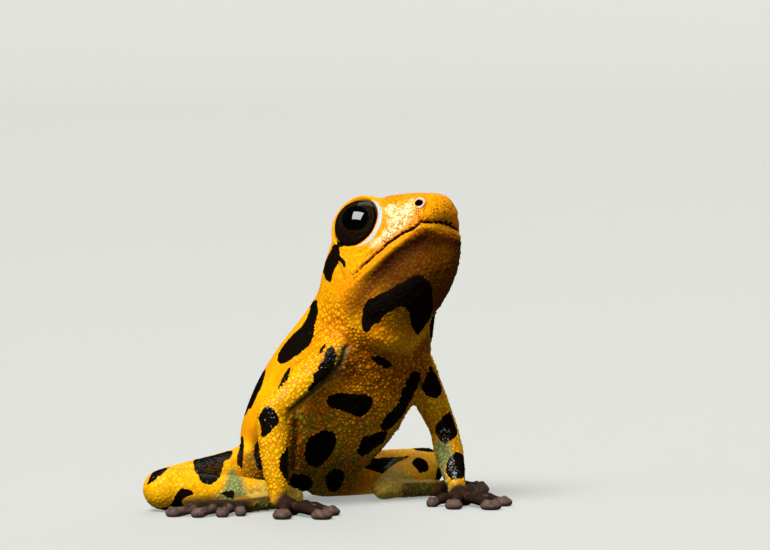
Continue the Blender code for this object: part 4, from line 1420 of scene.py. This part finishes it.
def build_skin(shift):
    piece = frog_form()
    mesh = piece.data
    skin = Skin(mesh)
    zones(skin)
    moved = shaped(skin)
    for name, values in marks(skin).items():
        layer = mesh.attributes.new(name, "FLOAT", "POINT")
        layer.data.foreach_set("value", values.astype(np.float32))
    place_vertices(mesh, (moved + np.array(shift)) * METRE)
    mesh.shade_smooth()
    mesh.materials.clear()
    mesh.materials.append(skin_material())
    return piece


def build_eye(name, side, shift):
    """An eyeball with a rounder clear front."""
    out = np.array(SKULL.to_3x3() @ eye_direction(side))
    gaze = np.array(SKULL.to_3x3() @ eye_direction(side, GAZE_FORWARD, GAZE_UP))
    middle = SKULL @ mirrored(EYE, side) + shift
    eye = ball(f"eyeball_{name}", (0, 0, 0), [EYE_RADIUS] * 3, facing(middle, out), 96)
    offset = vectors(eye.data.vertices, "co") - np.array(middle)
    along = offset @ out / EYE_RADIUS
    front = CORNEA_OFFSET * along + np.sqrt(CORNEA_RADIUS**2 - CORNEA_OFFSET**2 * (1 - along**2))
    above = np.logaddexp(0, (front / EYE_RADIUS - 1) * CORNEA_EDGE) / CORNEA_EDGE
    swell = 1 + above * smooth(0.0, 0.6, along)
    place_vertices(eye.data, (np.array(middle) + offset * swell[:, None]) * METRE)
    eye.data.shade_smooth()
    eye.data.materials.append(eye_material(middle, out, gaze))
    return eye


# Every light's place or direction is given as back towards the camera, up and right in the picture.
FROG_MIDDLE = Vector((0, 0, 0.009))
WARM_WHITE = (1, 0.98, 0.94)
LAMPS = (
    # Name, distance in metres from the middle of the frog, size, watts and colour.
    ("glint", (0.1167943, 0.1557258, -0.0459191), (0.132, 0.132), 0.55, (1, 1, 1)),
    ("rim", (-0.12, 0.22, 0.03), (0.13, 0.1), 0.025, (0.96, 1, 0.92)),
)
DAYLIGHTS = (
    # Name, direction, strength, spread in degrees and colour.
    ("key", (0.6, 0.76, -0.25), 4.25, 25, WARM_WHITE),
    ("fill", (0.6, 0.05, -0.8), 1.42, 60, WARM_WHITE),
    ("green", (0.5, 0.2, 0.8), 0.5, 80, (0.97, 0.98, 0.55)),
    ("behind", (-0.8, 0.5, 0.3), 1.8, 60, WARM_WHITE),
)
SKY_COLOUR = (0.83, 0.86, 0.84, 1)
SKY_STRENGTH = 0.15
SENSOR = 36.0
VIEW_RANGE = (0.01, 10)

# The level part of the floor, how many radians its curved part turns up, its colour, and the light it gives.
FLOOR_RADIUS = 1.2
FLOOR_BEND = 1.2
FLOOR_COLOUR = (0.3, 0.31, 0.298)
FLOOR_GLOW = (0.97, 1, 0.96)
GLOW_STRENGTH = 0.3


def light(name, kind, way, energy, colour):
    """A light in the direction way, shining at the frog, and the way itself."""
    way = Vector(BACK * way[0] + UP * way[1] + RIGHT * way[2])
    lit = add_object(name, bpy.data.lights.new(name, kind))
    lit.data.energy, lit.data.color = energy, colour
    lit.rotation_euler = (-way).to_track_quat("-Z", "Y").to_euler()
    return lit, way


def studio(shift):
    """The camera of the photograph, the lights and the dim sky."""
    target = (Vector(TARGET) + shift) * METRE
    camera = add_object("camera", bpy.data.cameras.new("camera"))
    camera.data.sensor_width = SENSOR
    camera.data.lens = SENSOR * VIEW_DISTANCE * PIXELS_PER_MM / PHOTO_SIZE[0]
    camera.data.clip_start, camera.data.clip_end = VIEW_RANGE
    camera.location = target + Vector(BACK) * VIEW_DISTANCE * METRE
    camera.rotation_euler = (target - camera.location).to_track_quat("-Z", "Y").to_euler()
    bpy.context.scene.camera = camera
    for name, way, size, energy, colour in LAMPS:
        lamp, way = light(name, "AREA", way, energy, colour)
        lamp.location = FROG_MIDDLE + way
        lamp.data.shape = "RECTANGLE"
        lamp.data.size, lamp.data.size_y = size
        lamp.visible_diffuse = name != "glint"
    for name, way, energy, spread, colour in DAYLIGHTS:
        sun, _ = light(name, "SUN", way, energy, colour)
        sun.data.angle = radians(spread)
        sun.visible_glossy = False
    world = bpy.data.worlds.new("studio")
    world.use_nodes = True
    sky = world.node_tree.nodes["Background"].inputs
    sky["Color"].default_value = SKY_COLOUR
    sky["Strength"].default_value = SKY_STRENGTH
    world.cycles_visibility.glossy = False
    bpy.context.scene.world = world
    bpy.context.scene.view_settings.view_transform = "Standard"


def floor():
    """A pale level sheet that curves up far away from the frog."""
    rows = [(0.01, 0.0), (FLOOR_RADIUS, 0.0)]
    rows += [(FLOOR_RADIUS + sin(a), 1 - cos(a)) for a in np.linspace(0.05, FLOOR_BEND, 24)]
    rings = [[(radius * cos(a), radius * sin(a), z) for a in turns(96)] for radius, z in rows]
    sheet = formed("floor", lambda made: made.faces.new(stitched(made, rings)[0]))
    sheet.data.shade_smooth()
    t = Tree("floor")
    sheet.data.materials.append(t.finish(
        Base_Color=FLOOR_COLOUR, Roughness=0.75, Emission_Color=FLOOR_GLOW, Emission_Strength=GLOW_STRENGTH
    ))
    sheet.visible_glossy = sheet.visible_diffuse = False


def main():
    shift = skin_shift()
    studio(shift)
    floor()
    skin = build_skin(shift)
    flesh = [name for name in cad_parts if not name.startswith("eye_")]
    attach(skin, "root")
    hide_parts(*flesh)
    for name, side in SIDES.items():
        eye = build_eye(name, side, shift)
        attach(eye, "root")
        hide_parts(f"eye_{name}")


main()
